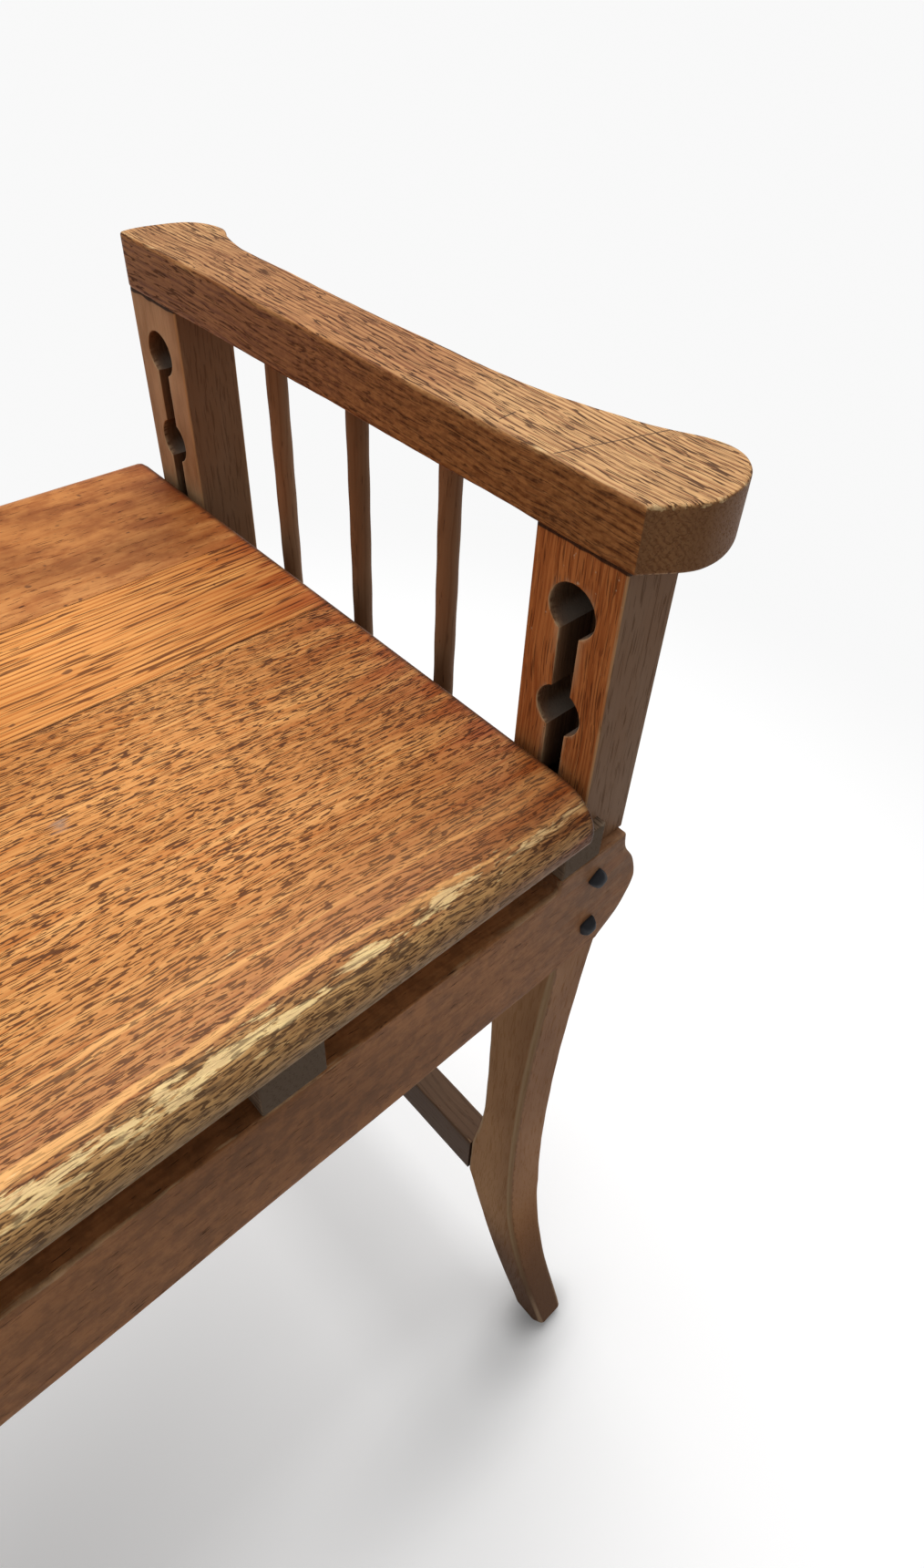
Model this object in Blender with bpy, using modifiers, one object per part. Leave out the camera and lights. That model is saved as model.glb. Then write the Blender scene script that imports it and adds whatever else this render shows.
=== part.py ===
"""Adjustable oak stool with keyhole-slotted posts and a seat that locks at four heights.

Metres, +Z up. The origin is on the floor under the middle of the stool. +X runs along the seat
towards the right-hand arm and +Y towards the back. Each end frame is two posts under an arm. The
seat rests on blocks on the rails. Two rods turn under it, and their flatted heads run in the posts'
keyhole slots: upright heads pass the slots, turned heads lock in the round holes.
"""

import math

import bmesh
import bpy
from mathutils import Matrix, Vector
from mathutils.geometry import interpolate_bezier

# Clearances
FIT = 0.0003            # gap between pieces that touch, and round a pin in its hole
SEAT_END_ROOM = 0.0032  # running room between the seat's end and a post

# End frames
POST_GAP = 0.401        # clear distance between the left and right posts
POST_THICK = 0.028      # along X
POST_WIDTH = 0.0388     # along Y
FRAME_DEPTH = 0.300     # over the posts, front to back
POST_ARRIS = 0.0008     # small rounding of the posts' edges

# Sabre leg below the rail, as setbacks from the post's front and back faces
LEG_WAIST_HEIGHT = 0.237
LEG_WAIST_SETBACK = 0.0056
LEG_BACK_WAIST_HEIGHT = 0.205
LEG_BACK_WAIST_SETBACK = 0.0065
LEG_ANKLE_HEIGHT = 0.115
LEG_ANKLE_SETBACK = 0.0004
LEG_SHIN_HEIGHT = 0.053
LEG_SHIN_REACH = 0.0165  # the shin's front lies this far forward of the post
TOE_REACH = 0.0425       # the toe's tip lies this far forward of the post
TOE_HEIGHT = 0.0065
SOLE_START = 0.038       # front end of the flat sole, forward of the post
SOLE_END = 0.0175        # back end of the flat sole, forward of the post
CALF_HEIGHT = 0.0445
CALF_REACH = 0.0098      # calf's back edge, behind the post's front face
FOOT_TAPER = 0.009       # thickness that the foot loses on its outer side
FOOT_TAPER_HEIGHT = 0.118

# Arms
ARM_UNDER = 0.5877       # height of the underside
ARM_THICK = 0.0237
ARM_OVERHANG = 0.013     # past the front posts
ARM_REAR_OVERHANG = 0.0005  # past the rear posts
ARM_INSET = 0.001        # inner edge stands this far inside the posts
ARM_WAIST = 0.0325       # width between the lobes
ARM_LOBE = 0.0525        # width at the front lobe
ARM_REAR_LOBE = 0.041    # width at the rear lobe
ARM_LOBE_SETBACK = 0.020  # widest place, from the arm's end
ARM_SWEEP = 0.075        # length of the sweep from front lobe to waist
ARM_SWEEP_BEND = 0.35    # half of the widening is lost in this share of the sweep
ARM_CREST = 0.39         # the end's furthest place, as a share of the lobe's width
ARM_SHOULDER = (0.85, 0.27)  # the end's round shoulder, as shares of width and setback
ARM_CORNER = 0.0105      # the front end's inner corner, from the arm's end
ARM_REAR_CORNER = 0.001  # the rear end's inner corner, over the post's own corner
ARM_ARRIS = 0.0018
TENON_LENGTH = 0.012     # post into arm
TENON_WIDTH = 0.022
TENON_THICK = 0.013

# Spindles and the side rail that holds their feet
SPINDLE_COUNT = 3
SPINDLE_PITCH = 0.0555
SPINDLE_TOP_DIA = 0.0092
SPINDLE_FOOT_DIA = 0.0084
SPINDLE_SOCKET = 0.010
SIDE_RAIL_THICK = 0.020
SIDE_RAIL_HEIGHT = 0.060
SIDE_RAIL_TENON = 0.007
SIDE_RAIL_SHOULDER = 0.008

# Low stretcher between front and rear leg, flush with the legs' inner faces
STRETCHER_FOOT = 0.1127
STRETCHER_HEIGHT = 0.034
STRETCHER_THICK = 0.0185
STRETCHER_TENON = 0.010
STRETCHER_SHOULDER = 0.006

# Seat
SEAT_TOP = 0.497
SEAT_THICK = 0.0225
SEAT_FRONT_OVERHANG = 0.009   # past the posts' front faces
SEAT_BACK_OVERHANG = 0.0235   # past the posts' back faces
FRONT_BOARD = 0.159
MIDDLE_BOARD = 0.066
SEAT_END_ROUND = 0.0022
SEAT_NOSE_ROUND = 0.0150      # wide rounding above the free edges
SEAT_NOSE_FOOT = 0.0040       # small rounding below them

# Front and rear rails and the rest blocks on them
RAIL_HEIGHT = 0.065
RAIL_THICK = 0.012
RAIL_PROUD = 0.0043      # rail face in front of the posts' faces
RAIL_ARRIS = 0.0007
EAR_REACH = 0.0113       # ear past the post's outer face, at its fullest
EAR_FULL_DROP = 0.038    # fullest place, below the rail's top
EAR_TOP_SETBACK = 0.0022  # ear's upper corner, inside the post's outer face
EAR_HOLLOW = (0.18, 0.25)  # hollow of the ear's ogee, as shares of its reach and drop
EAR_SHOULDER = (0.72, 0.62)  # shoulder of the ogee, as shares of its reach and drop
EAR_UNDER = 0.45         # reach of the ear's underside, as a share of its full reach
EAR_FOOT_SETBACK = 0.0062  # ear's lower end, inside the post's outer face
EAR_FOOT_EASE = 0.0018   # cut across the ear's lower corner
BAY_DROP = 0.0055        # finger bays are cut this much below the rail's ends
BLOCK_HEIGHT = 0.0179    # of the end blocks
BLOCK_PITCH = 0.1327
MID_BLOCK_WIDTH = 0.0243
END_BLOCK_WIDTH = 0.0212
BLOCK_ARRIS = 0.0004
BLOCK_COUNT = 4

# Coach screws through the rail ends into the posts
COACH_HEAD = 0.0078      # across the square head
COACH_HEAD_HEIGHT = 0.0042
COACH_HEAD_TAPER = 0.62  # width of the head's outer end, as a share of its seat
COACH_SHANK_DIA = 0.005
COACH_BITE = 0.0012      # shank past the rail into the post
COACH_DROPS = (0.0150, 0.0465)  # below the rail's top
COACH_INSET = 0.0103     # from the post's inner face
COACH_TURNS = (0.62, 0.21)      # how far each head stopped turning, in radians

# Keyhole slots
KEY_COUNT = 4
KEY_PITCH = 0.0431
KEY_TOP = 0.563          # centre of the topmost hole
KEY_DIA = 0.0204
SLOT_WIDTH = 0.0087
KEY_DEPTH = 0.018

# Lock rods, their heads and levers
ROD_DIA = 0.012
TANG_THICK = 0.0042
TANG_LENGTH = 0.013
HEAD_ROOM = 0.0006       # head to hole, slot and pocket floor
LEVER_LENGTH = 0.036     # rod axis to the centre of the lever's tip
LEVER_THICK = 0.008
LEVER_EYE_DIA = 0.023
LEVER_TIP_DIA = 0.012
LEVER_PIN_DIA = 0.003

# Bearers under the seat and their screws
BEARER_THICK = 0.018
BEARER_DEPTH = 0.056
BEARER_END_SETBACK = 0.0033   # outer bearers, from the seat's end
BEARER_RAIL_ROOM = 0.0013     # bearer's end to the rail's back
SCREW_SPACING = 0.190         # between a bearer's two screws
SCREW_HEAD_DIA = 0.008
SCREW_HEAD_HEIGHT = 0.003
SCREW_SHANK_DIA = 0.004
SCREW_GRIP = 0.020            # bearer left above the counterbore
SCREW_BITE = 0.012            # thread in the seat board

# How finely curves are cut
CURVE_STEPS = 6
HOLE_SIDES = 20
ROUND_SIDES = 14
SMALL_SIDES = 10
CUT_PAST = 0.002         # cutters run this far past what they cut

# Places worked out from the sizes above
POST_IN = POST_GAP / 2
POST_OUT = POST_IN + POST_THICK
POST_MID_X = POST_IN + POST_THICK / 2
POST_FRONT = FRAME_DEPTH / 2                  # distance of the outer face from the middle, in Y
POST_BACK = POST_FRONT - POST_WIDTH           # distance of the inner face from the middle, in Y
POST_MID_Y = POST_FRONT - POST_WIDTH / 2
POST_TOP = ARM_UNDER - FIT
SEAT_UNDER = SEAT_TOP - SEAT_THICK
SEAT_HALF = POST_IN - SEAT_END_ROOM
SEAT_FRONT = -(POST_FRONT + SEAT_FRONT_OVERHANG)
SEAT_BACK = POST_FRONT + SEAT_BACK_OVERHANG
BLOCK_TOP = SEAT_UNDER - FIT
RAIL_TOP = BLOCK_TOP - BLOCK_HEIGHT - FIT
RAIL_FOOT = RAIL_TOP - RAIL_HEIGHT
RAIL_FACE = POST_FRONT + RAIL_PROUD           # distance from the middle, in Y
RAIL_BACK = RAIL_FACE - RAIL_THICK
ROD_HEIGHT = KEY_TOP - (KEY_COUNT - 1) * KEY_PITCH
STRETCHER_TOP = STRETCHER_FOOT + STRETCHER_HEIGHT
SIDE_RAIL_FOOT = RAIL_TOP - SIDE_RAIL_HEIGHT

CORNER, SMOOTH = "corner", "smooth"  # kinds of knot in an outline


def clear_scene():
    """Removes whatever the scene holds."""
    for old in list(bpy.data.objects):
        bpy.data.objects.remove(old, do_unlink=True)


def new_collection(name):
    """A collection linked to the scene."""
    group = bpy.data.collections.new(name)
    bpy.context.scene.collection.children.link(group)
    return group


def make_material(name, colour, roughness, metallic=0.0):
    """A Principled BSDF with a colour, a roughness and a metallic value."""
    material = bpy.data.materials.new(name)
    material.use_nodes = True
    shader = material.node_tree.nodes["Principled BSDF"]
    shader.inputs["Base Color"].default_value = (*colour, 1.0)
    shader.inputs["Roughness"].default_value = roughness
    shader.inputs["Metallic"].default_value = metallic
    material.diffuse_color = (*colour, 1.0)
    return material


clear_scene()
STOOL = new_collection("adjustable_stool")
CUTTERS = new_collection("cutters")
OAK_SEAT = make_material("oak_seat", (0.42, 0.17, 0.045), 0.42)
OAK_ARM = make_material("oak_arm", (0.36, 0.18, 0.07), 0.55)
OAK_FRAME = make_material("oak_frame", (0.24, 0.13, 0.06), 0.55)
OAK_END_GRAIN = make_material("oak_end_grain", (0.16, 0.11, 0.07), 0.75)
BLACK_IRON = make_material("black_iron", (0.03, 0.033, 0.036), 0.45, 0.9)


def add_object(name, mesh, place, material):
    """Puts a mesh in the stool's collection, or among the cutters where it has no material."""
    item = bpy.data.objects.new(name, mesh)
    item.location = place
    if material is None:
        CUTTERS.objects.link(item)
        item.hide_render = True
        item.display_type = "WIRE"
    else:
        STOOL.objects.link(item)
        mesh.materials.clear()
        mesh.materials.append(material)
    return item


def box(name, low, high, material=None):
    """A box between two corners, with its origin at its middle."""
    low, high = Vector(low), Vector(high)
    shape = bmesh.new()
    bmesh.ops.create_cube(shape, size=1.0, matrix=Matrix.Diagonal((*(high - low), 1.0)))
    mesh = bpy.data.meshes.new(name)
    shape.to_mesh(mesh)
    shape.free()
    return add_object(name, mesh, (low + high) / 2, material)


def cylinder(name, start, end, radius, sides, material=None):
    """A round bar between two points."""
    start, end = Vector(start), Vector(end)
    turn = Vector((0, 0, 1)).rotation_difference(end - start).to_matrix().to_4x4()
    shape = bmesh.new()
    bmesh.ops.create_cone(
        shape, cap_ends=True, segments=sides, radius1=radius, radius2=radius,
        depth=(end - start).length, matrix=turn,
    )
    mesh = bpy.data.meshes.new(name)
    shape.to_mesh(mesh)
    shape.free()
    smooth_round(mesh)
    return add_object(name, mesh, (start + end) / 2, material)


def smooth_round(mesh):
    """Smooth shading on round stretches, with true edges kept sharp."""
    mesh.shade_smooth()
    mesh.set_sharp_from_angle(angle=math.radians(35))


# Where a flat outline's own x, y and thickness directions point, for each plane it can lie in.
PLANES = {
    "XY": Matrix(((1, 0, 0), (0, 1, 0), (0, 0, 1))),
    "XZ": Matrix(((1, 0, 0), (0, 0, -1), (0, 1, 0))),
    "YZ": Matrix(((0, 0, 1), (1, 0, 0), (0, 1, 0))),
}


def mesh_of(item):
    """The evaluated mesh of an object, with its modifiers in it."""
    graph = bpy.context.evaluated_depsgraph_get()
    return bpy.data.meshes.new_from_object(item.evaluated_get(graph), depsgraph=graph)


def handle(knot, behind, towards):
    """Bezier handle of a knot on the side of its neighbour towards."""
    here, prior, after = Vector(knot[:2]), Vector(behind[:2]), Vector(towards[:2])
    reach = (after - here) / 3
    if knot[2] == CORNER:
        return here + reach
    return here + (after - prior).normalized() * reach.length


def outline_points(knots):
    """Points of a closed outline: straight between corners, curved next to a smooth knot."""
    points = []
    count = len(knots)
    for i, knot in enumerate(knots):
        behind, ahead, beyond = knots[i - 1], knots[(i + 1) % count], knots[(i + 2) % count]
        points.append(Vector(knot[:2]))
        if SMOOTH in (knot[2], ahead[2]):
            leave, arrive = handle(knot, behind, ahead), handle(ahead, beyond, knot)
            curve = interpolate_bezier(knot[:2], leave, arrive, ahead[:2], CURVE_STEPS + 1)
            points += curve[1:-1]
    return points


def plate(name, knots, plane, start, end, material=None):
    """A flat outline given thickness.

    Knots are (u, v, kind) in the plane, where kind is CORNER or SMOOTH. The thickness runs from
    start to end along the axis that the plane leaves out.
    """
    points = outline_points(knots)
    curve = bpy.data.curves.new(name, "CURVE")
    curve.dimensions = "2D"
    curve.fill_mode = "NONE"
    curve.extrude = abs(end - start) / 2
    line = curve.splines.new("POLY")
    line.points.add(len(points) - 1)
    for point, (u, v) in zip(line.points, points):
        point.co = (u, v, 0, 1)
    line.use_cyclic_u = True
    drawn = bpy.data.objects.new(name + "_outline", curve)
    CUTTERS.objects.link(drawn)
    mesh = mesh_of(drawn)
    bpy.data.objects.remove(drawn, do_unlink=True)
    bpy.data.curves.remove(curve)

    shape = bmesh.new()
    shape.from_mesh(mesh)
    bmesh.ops.remove_doubles(shape, verts=shape.verts, dist=1e-6)
    rims = [edge for edge in shape.edges if edge.is_boundary]
    bmesh.ops.holes_fill(shape, edges=rims, sides=len(points))
    bmesh.ops.recalc_face_normals(shape, faces=shape.faces)
    bmesh.ops.transform(shape, matrix=PLANES[plane].to_4x4(), verts=shape.verts)
    shape.to_mesh(mesh)
    shape.free()
    mesh.name = name
    left_out = ({"X", "Y", "Z"} - set(plane)).pop()
    place = Vector((0, 0, 0))
    place["XYZ".index(left_out)] = (start + end) / 2
    smooth_round(mesh)
    return add_object(name, mesh, place, material)


def turned(name, profile, place, sides, material):
    """A turned piece. The profile is (radius, height) from top to bottom, with ends on the axis."""
    mesh = bpy.data.meshes.new(name)
    points = [(radius, 0.0, height) for radius, height in profile]
    mesh.from_pydata(points, [(i, i + 1) for i in range(len(points) - 1)], [])
    item = add_object(name, mesh, place, material)
    lathe = item.modifiers.new("turn", "SCREW")
    lathe.steps = sides
    lathe.render_steps = sides
    lathe.use_merge_vertices = True
    lathe.merge_threshold = 1e-5
    lathe.use_smooth_shade = True
    return item


def ease_edges(item, width, segments=1):
    """Rounds every sharp edge by a small width."""
    bevel = item.modifiers.new("ease", "BEVEL")
    bevel.width = width
    bevel.segments = segments
    bevel.limit_method = "ANGLE"
    bevel.angle_limit = math.radians(40)


def ease_chosen(item, width, segments, chosen):
    """Rounds the edges for which chosen(a, b) holds, given their two ends."""
    mesh = item.data
    weights = mesh.attributes.new("bevel_weight_edge", "FLOAT", "EDGE")
    for edge in mesh.edges:
        a, b = (mesh.vertices[i].co for i in edge.vertices)
        weights.data[edge.index].value = 1.0 if chosen(a, b) else 0.0
    bevel = item.modifiers.new("round", "BEVEL")
    bevel.width = width
    bevel.segments = segments
    bevel.limit_method = "WEIGHT"


def cut(item, *tools, operation="DIFFERENCE"):
    """Cuts an object with each tool, or joins them to it."""
    for tool in tools:
        step = item.modifiers.new(tool.name, "BOOLEAN")
        step.operation = operation
        step.solver = "EXACT"
        step.object = tool


def settle(item):
    """Replaces an object's mesh by its evaluated one, so that copies can be taken of it."""
    bpy.context.view_layer.update()
    mesh = mesh_of(item)
    item.modifiers.clear()
    item.data = mesh
    return item


def mirrored(item, name, axis):
    """A copy of a settled object on the other side of the middle plane across an axis (0 X, 1 Y)."""
    mesh = item.data.copy()
    flip = Vector((1, 1, 1))
    flip[axis] = -1
    mesh.transform(Matrix.Diagonal((*flip, 1)))
    mesh.flip_normals()
    place = item.location.copy()
    place[axis] = -place[axis]
    twin = bpy.data.objects.new(name, mesh)
    twin.location = place
    STOOL.objects.link(twin)
    return twin


def group_under(name, place, pieces):
    """Parents pieces to a named empty, which stands on the axis that they move about."""
    empty = bpy.data.objects.new(name, None)
    empty.location = place
    empty.empty_display_size = 0.03
    STOOL.objects.link(empty)
    for piece in pieces:
        piece.location -= empty.location
        piece.parent = empty


def arc(middle, radius, start, end, sides):
    """Points on an arc, with angles in degrees, both ends included."""
    count = max(2, round(abs(end - start) / 360 * sides))
    angles = [math.radians(start + (end - start) * i / count) for i in range(count + 1)]
    return [(middle[0] + radius * math.cos(a), middle[1] + radius * math.sin(a)) for a in angles]


def corners(points):
    """Outline knots with a corner at each point."""
    return [(u, v, CORNER) for u, v in points]


def keyhole_outline():
    """Round holes on one line, joined by a narrower slot: up one side, over the top and down."""
    half, radius = SLOT_WIDTH / 2, KEY_DIA / 2
    meet = math.degrees(math.asin(half / radius))
    heights = [ROD_HEIGHT + i * KEY_PITCH for i in range(KEY_COUNT)]
    side = []
    for i, height in enumerate(heights):
        start = -90 if i == 0 else -90 + meet
        end = 90 if i == KEY_COUNT - 1 else 90 - meet
        side += arc((0, height), radius, start, end, HOLE_SIDES)
    other = [(-u, v) for u, v in reversed(side)]
    return [(u - POST_MID_Y, v) for u, v in side + other[1:-1]]


def post_outline():
    """Front post and sabre leg seen from the side: down the front, along the sole and up the back."""
    front, back = -POST_FRONT, -POST_BACK
    pad = back - FIT
    return [
        (front, POST_TOP, CORNER),
        (front, RAIL_FOOT, CORNER),
        (front + LEG_WAIST_SETBACK, LEG_WAIST_HEIGHT, SMOOTH),
        (front + LEG_ANKLE_SETBACK, LEG_ANKLE_HEIGHT, SMOOTH),
        (front - LEG_SHIN_REACH, LEG_SHIN_HEIGHT, SMOOTH),
        (front - TOE_REACH, TOE_HEIGHT, CORNER),
        (front - SOLE_START, 0.0, CORNER),
        (front - SOLE_END, 0.0, CORNER),
        (front + CALF_REACH, CALF_HEIGHT, SMOOTH),
        (pad, STRETCHER_FOOT, CORNER),
        (pad, STRETCHER_TOP, CORNER),
        (back - LEG_BACK_WAIST_SETBACK, LEG_BACK_WAIST_HEIGHT, SMOOTH),
        (back, RAIL_FOOT, CORNER),
        (back, POST_TOP, CORNER),
    ]


def make_posts():
    """The four posts, cut for keyholes, rail, rest block, side rail and stretcher."""
    post = plate("front_post_right", post_outline(), "YZ", POST_IN, POST_OUT, OAK_FRAME)
    ease_edges(post, POST_ARRIS)
    tenon = box(
        "tenon",
        (POST_MID_X - TENON_THICK / 2, -POST_MID_Y - TENON_WIDTH / 2, POST_TOP - CUT_PAST),
        (POST_MID_X + TENON_THICK / 2, -POST_MID_Y + TENON_WIDTH / 2, ARM_UNDER + TENON_LENGTH),
    )
    cut(post, tenon, operation="UNION")
    keyhole = plate(
        "keyhole", corners(keyhole_outline()), "YZ", POST_IN - CUT_PAST, POST_IN + KEY_DEPTH
    )
    housing = box(
        "rail_housing",
        (POST_IN - CUT_PAST, -POST_FRONT - CUT_PAST, RAIL_FOOT - FIT),
        (POST_OUT + CUT_PAST, -RAIL_BACK + FIT, RAIL_TOP + FIT),
    )
    notch = box(
        "block_notch",
        (POST_IN - CUT_PAST, -POST_FRONT - CUT_PAST, RAIL_TOP - CUT_PAST),
        (end_block_out() + FIT, -RAIL_BACK + FIT, BLOCK_TOP + FIT),
    )
    side_mortise = box(
        "side_rail_mortise",
        (POST_MID_X - SIDE_RAIL_THICK / 2 - FIT, -POST_BACK - SIDE_RAIL_TENON - FIT,
         SIDE_RAIL_FOOT + SIDE_RAIL_SHOULDER - FIT),
        (POST_MID_X + SIDE_RAIL_THICK / 2 + FIT, -POST_BACK + CUT_PAST,
         RAIL_TOP - SIDE_RAIL_SHOULDER + FIT),
    )
    low_mortise = box(
        "stretcher_mortise",
        (POST_IN + STRETCHER_SHOULDER - FIT, -POST_BACK - STRETCHER_TENON - FIT,
         STRETCHER_FOOT + STRETCHER_SHOULDER - FIT),
        (POST_IN + STRETCHER_THICK + FIT, -POST_BACK + CUT_PAST,
         STRETCHER_TOP - STRETCHER_SHOULDER + FIT),
    )
    spare = FOOT_TAPER * CUT_PAST / FOOT_TAPER_HEIGHT
    taper = plate(
        "foot_taper",
        corners([
            (POST_OUT + spare, FOOT_TAPER_HEIGHT + CUT_PAST),
            (POST_OUT - FOOT_TAPER - spare, -CUT_PAST),
            (POST_OUT + FOOT_TAPER, -CUT_PAST),
            (POST_OUT + FOOT_TAPER, FOOT_TAPER_HEIGHT + CUT_PAST),
        ]),
        "XZ", -POST_FRONT - TOE_REACH - CUT_PAST, -POST_BACK + CUT_PAST,
    )
    screws = [
        cylinder(f"coach_hole_{i}", (coach_x(), -RAIL_FACE, RAIL_TOP - drop),
                 (coach_x(), -RAIL_BACK + COACH_BITE + FIT, RAIL_TOP - drop),
                 COACH_SHANK_DIA / 2 + FIT, SMALL_SIDES)
        for i, drop in enumerate(COACH_DROPS)
    ]
    cut(post, keyhole, housing, notch, side_mortise, low_mortise, taper, *screws)
    settle(post)
    rear = mirrored(post, "rear_post_right", 1)
    return [post, rear, mirrored(post, "front_post_left", 0), mirrored(rear, "rear_post_left", 0)]


def coach_x():
    """Distance of the coach screws from the middle, in X."""
    return POST_IN + COACH_INSET


def end_block_out():
    """Outer end of an end block, measured from the middle."""
    return BLOCK_PITCH * (BLOCK_COUNT - 1) / 2 + END_BLOCK_WIDTH / 2


def arm_lobe(overhang, lobe, corner):
    """One end of the arm, as knots of width and distance: inner corner, round end and waist."""
    half = POST_FRONT + overhang
    full = half - ARM_LOBE_SETBACK
    sweep = ARM_SWEEP * (lobe - ARM_WAIST) / (ARM_LOBE - ARM_WAIST)
    return [
        (0.0, half - corner, CORNER),
        (lobe * ARM_CREST, half, SMOOTH),
        (lobe * ARM_SHOULDER[0], half - ARM_LOBE_SETBACK * ARM_SHOULDER[1], SMOOTH),
        (lobe, full, SMOOTH),
        ((lobe + ARM_WAIST) / 2, full - sweep * ARM_SWEEP_BEND, SMOOTH),
        (ARM_WAIST, full - sweep, SMOOTH),
    ]


def arm_outline():
    """Right arm from above: straight inner edge, a lobe at each end and a waist between."""
    inner = POST_IN - ARM_INSET
    rear = arm_lobe(ARM_REAR_OVERHANG, ARM_REAR_LOBE, ARM_REAR_CORNER)
    front = reversed(arm_lobe(ARM_OVERHANG, ARM_LOBE, ARM_CORNER))
    front = [(u, -v, kind) for u, v, kind in front]
    return [(inner + u, v, kind) for u, v, kind in rear + front]


def spindle_places():
    """Y of each spindle."""
    return [(i - (SPINDLE_COUNT - 1) / 2) * SPINDLE_PITCH for i in range(SPINDLE_COUNT)]


def make_arms():
    """Both arms, mortised for the posts and bored for the spindles."""
    arm = plate("arm_right", arm_outline(), "XY", ARM_UNDER, ARM_UNDER + ARM_THICK, OAK_ARM)
    ease_edges(arm, ARM_ARRIS, 2)
    tools = []
    for side, y in (("front", -POST_MID_Y), ("rear", POST_MID_Y)):
        tools.append(box(
            f"arm_mortise_{side}",
            (POST_MID_X - TENON_THICK / 2 - FIT, y - TENON_WIDTH / 2 - FIT, ARM_UNDER - CUT_PAST),
            (POST_MID_X + TENON_THICK / 2 + FIT, y + TENON_WIDTH / 2 + FIT,
             ARM_UNDER + TENON_LENGTH + FIT),
        ))
    for i, y in enumerate(spindle_places()):
        tools.append(cylinder(
            f"arm_socket_{i}", (POST_MID_X, y, ARM_UNDER - CUT_PAST),
            (POST_MID_X, y, ARM_UNDER + SPINDLE_SOCKET + FIT),
            SPINDLE_TOP_DIA / 2 + FIT, ROUND_SIDES,
        ))
    cut(arm, *tools)
    settle(arm)
    return [arm, mirrored(arm, "arm_left", 0)]


def make_spindles():
    """The slim bars between arm and side rail, a little thinner at the foot."""
    foot, top = RAIL_TOP - SPINDLE_SOCKET, ARM_UNDER + SPINDLE_SOCKET
    profile = [
        (0.0, top - foot),
        (SPINDLE_TOP_DIA / 2, top - foot),
        (SPINDLE_TOP_DIA / 2, ARM_UNDER - foot),
        (SPINDLE_FOOT_DIA / 2, SPINDLE_SOCKET),
        (SPINDLE_FOOT_DIA / 2, 0.0),
        (0.0, 0.0),
    ]
    made = []
    for side, x in (("right", POST_MID_X), ("left", -POST_MID_X)):
        for i, y in enumerate(spindle_places()):
            made.append(turned(
                f"spindle_{side}_{i + 1}", profile, (x, y, foot), ROUND_SIDES, OAK_FRAME
            ))
    return made


def tenoned_bar(half, foot, top, shoulder, tenon):
    """Outline of a bar along Y with a shouldered tenon at each end."""
    return corners([
        (-half, foot), (half, foot), (half, foot + shoulder), (half + tenon, foot + shoulder),
        (half + tenon, top - shoulder), (half, top - shoulder), (half, top), (-half, top),
        (-half, top - shoulder), (-half - tenon, top - shoulder), (-half - tenon, foot + shoulder),
        (-half, foot + shoulder),
    ])


def make_side_rails():
    """Rails between front and rear post that hold the spindles' feet."""
    outline = tenoned_bar(
        POST_BACK - FIT, SIDE_RAIL_FOOT, RAIL_TOP, SIDE_RAIL_SHOULDER, SIDE_RAIL_TENON
    )
    rail = plate("side_rail_right", outline, "YZ", POST_MID_X - SIDE_RAIL_THICK / 2,
                 POST_MID_X + SIDE_RAIL_THICK / 2, OAK_FRAME)
    sockets = [
        cylinder(f"rail_socket_{i}", (POST_MID_X, y, RAIL_TOP + CUT_PAST),
                 (POST_MID_X, y, RAIL_TOP - SPINDLE_SOCKET - FIT),
                 SPINDLE_FOOT_DIA / 2 + FIT, ROUND_SIDES)
        for i, y in enumerate(spindle_places())
    ]
    cut(rail, *sockets)
    settle(rail)
    return [rail, mirrored(rail, "side_rail_left", 0)]


def make_stretchers():
    """Low bars from front leg to rear leg, with a tenon bare on the outer side."""
    outline = tenoned_bar(
        POST_BACK, STRETCHER_FOOT, STRETCHER_TOP, STRETCHER_SHOULDER, STRETCHER_TENON
    )
    bar = plate("stretcher_right", outline, "YZ", POST_IN, POST_IN + STRETCHER_THICK, OAK_FRAME)
    cheeks = []
    for side, sign in (("front", -1), ("rear", 1)):
        near, far = sorted((sign * POST_BACK, sign * (POST_BACK + STRETCHER_TENON + CUT_PAST)))
        cheeks.append(box(
            f"tenon_cheek_{side}",
            (POST_IN - CUT_PAST, near, STRETCHER_FOOT - CUT_PAST),
            (POST_IN + STRETCHER_SHOULDER, far, STRETCHER_TOP + CUT_PAST),
        ))
    cut(bar, *cheeks)
    settle(bar)
    return [bar, mirrored(bar, "stretcher_left", 0)]


def rail_outline():
    """Rail seen from the front: ogee ears past the posts, and finger bays between the blocks."""
    ear_top = POST_OUT - EAR_TOP_SETBACK
    ear_foot = POST_OUT - EAR_FOOT_SETBACK
    full = RAIL_TOP - EAR_FULL_DROP
    land = BLOCK_PITCH * (BLOCK_COUNT - 1) / 2 - END_BLOCK_WIDTH / 2 - FIT
    half = [
        *corners(arc((land - BAY_DROP, RAIL_TOP), BAY_DROP, -90, 0, HOLE_SIDES)),
        (ear_top, RAIL_TOP, CORNER),
        (ear_top + EAR_REACH * EAR_HOLLOW[0], RAIL_TOP - EAR_FULL_DROP * EAR_HOLLOW[1], SMOOTH),
        (POST_OUT + EAR_REACH * EAR_SHOULDER[0], RAIL_TOP - EAR_FULL_DROP * EAR_SHOULDER[1], SMOOTH),
        (POST_OUT + EAR_REACH, full, SMOOTH),
        (POST_OUT + EAR_REACH * EAR_UNDER, (full + RAIL_FOOT) / 2 - EAR_FOOT_EASE, SMOOTH),
        (ear_foot, RAIL_FOOT + EAR_FOOT_EASE, CORNER),
        (ear_foot - EAR_FOOT_EASE, RAIL_FOOT, CORNER),
    ]
    other = [(-u, v, kind) for u, v, kind in reversed(half)]
    return half + other


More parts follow.
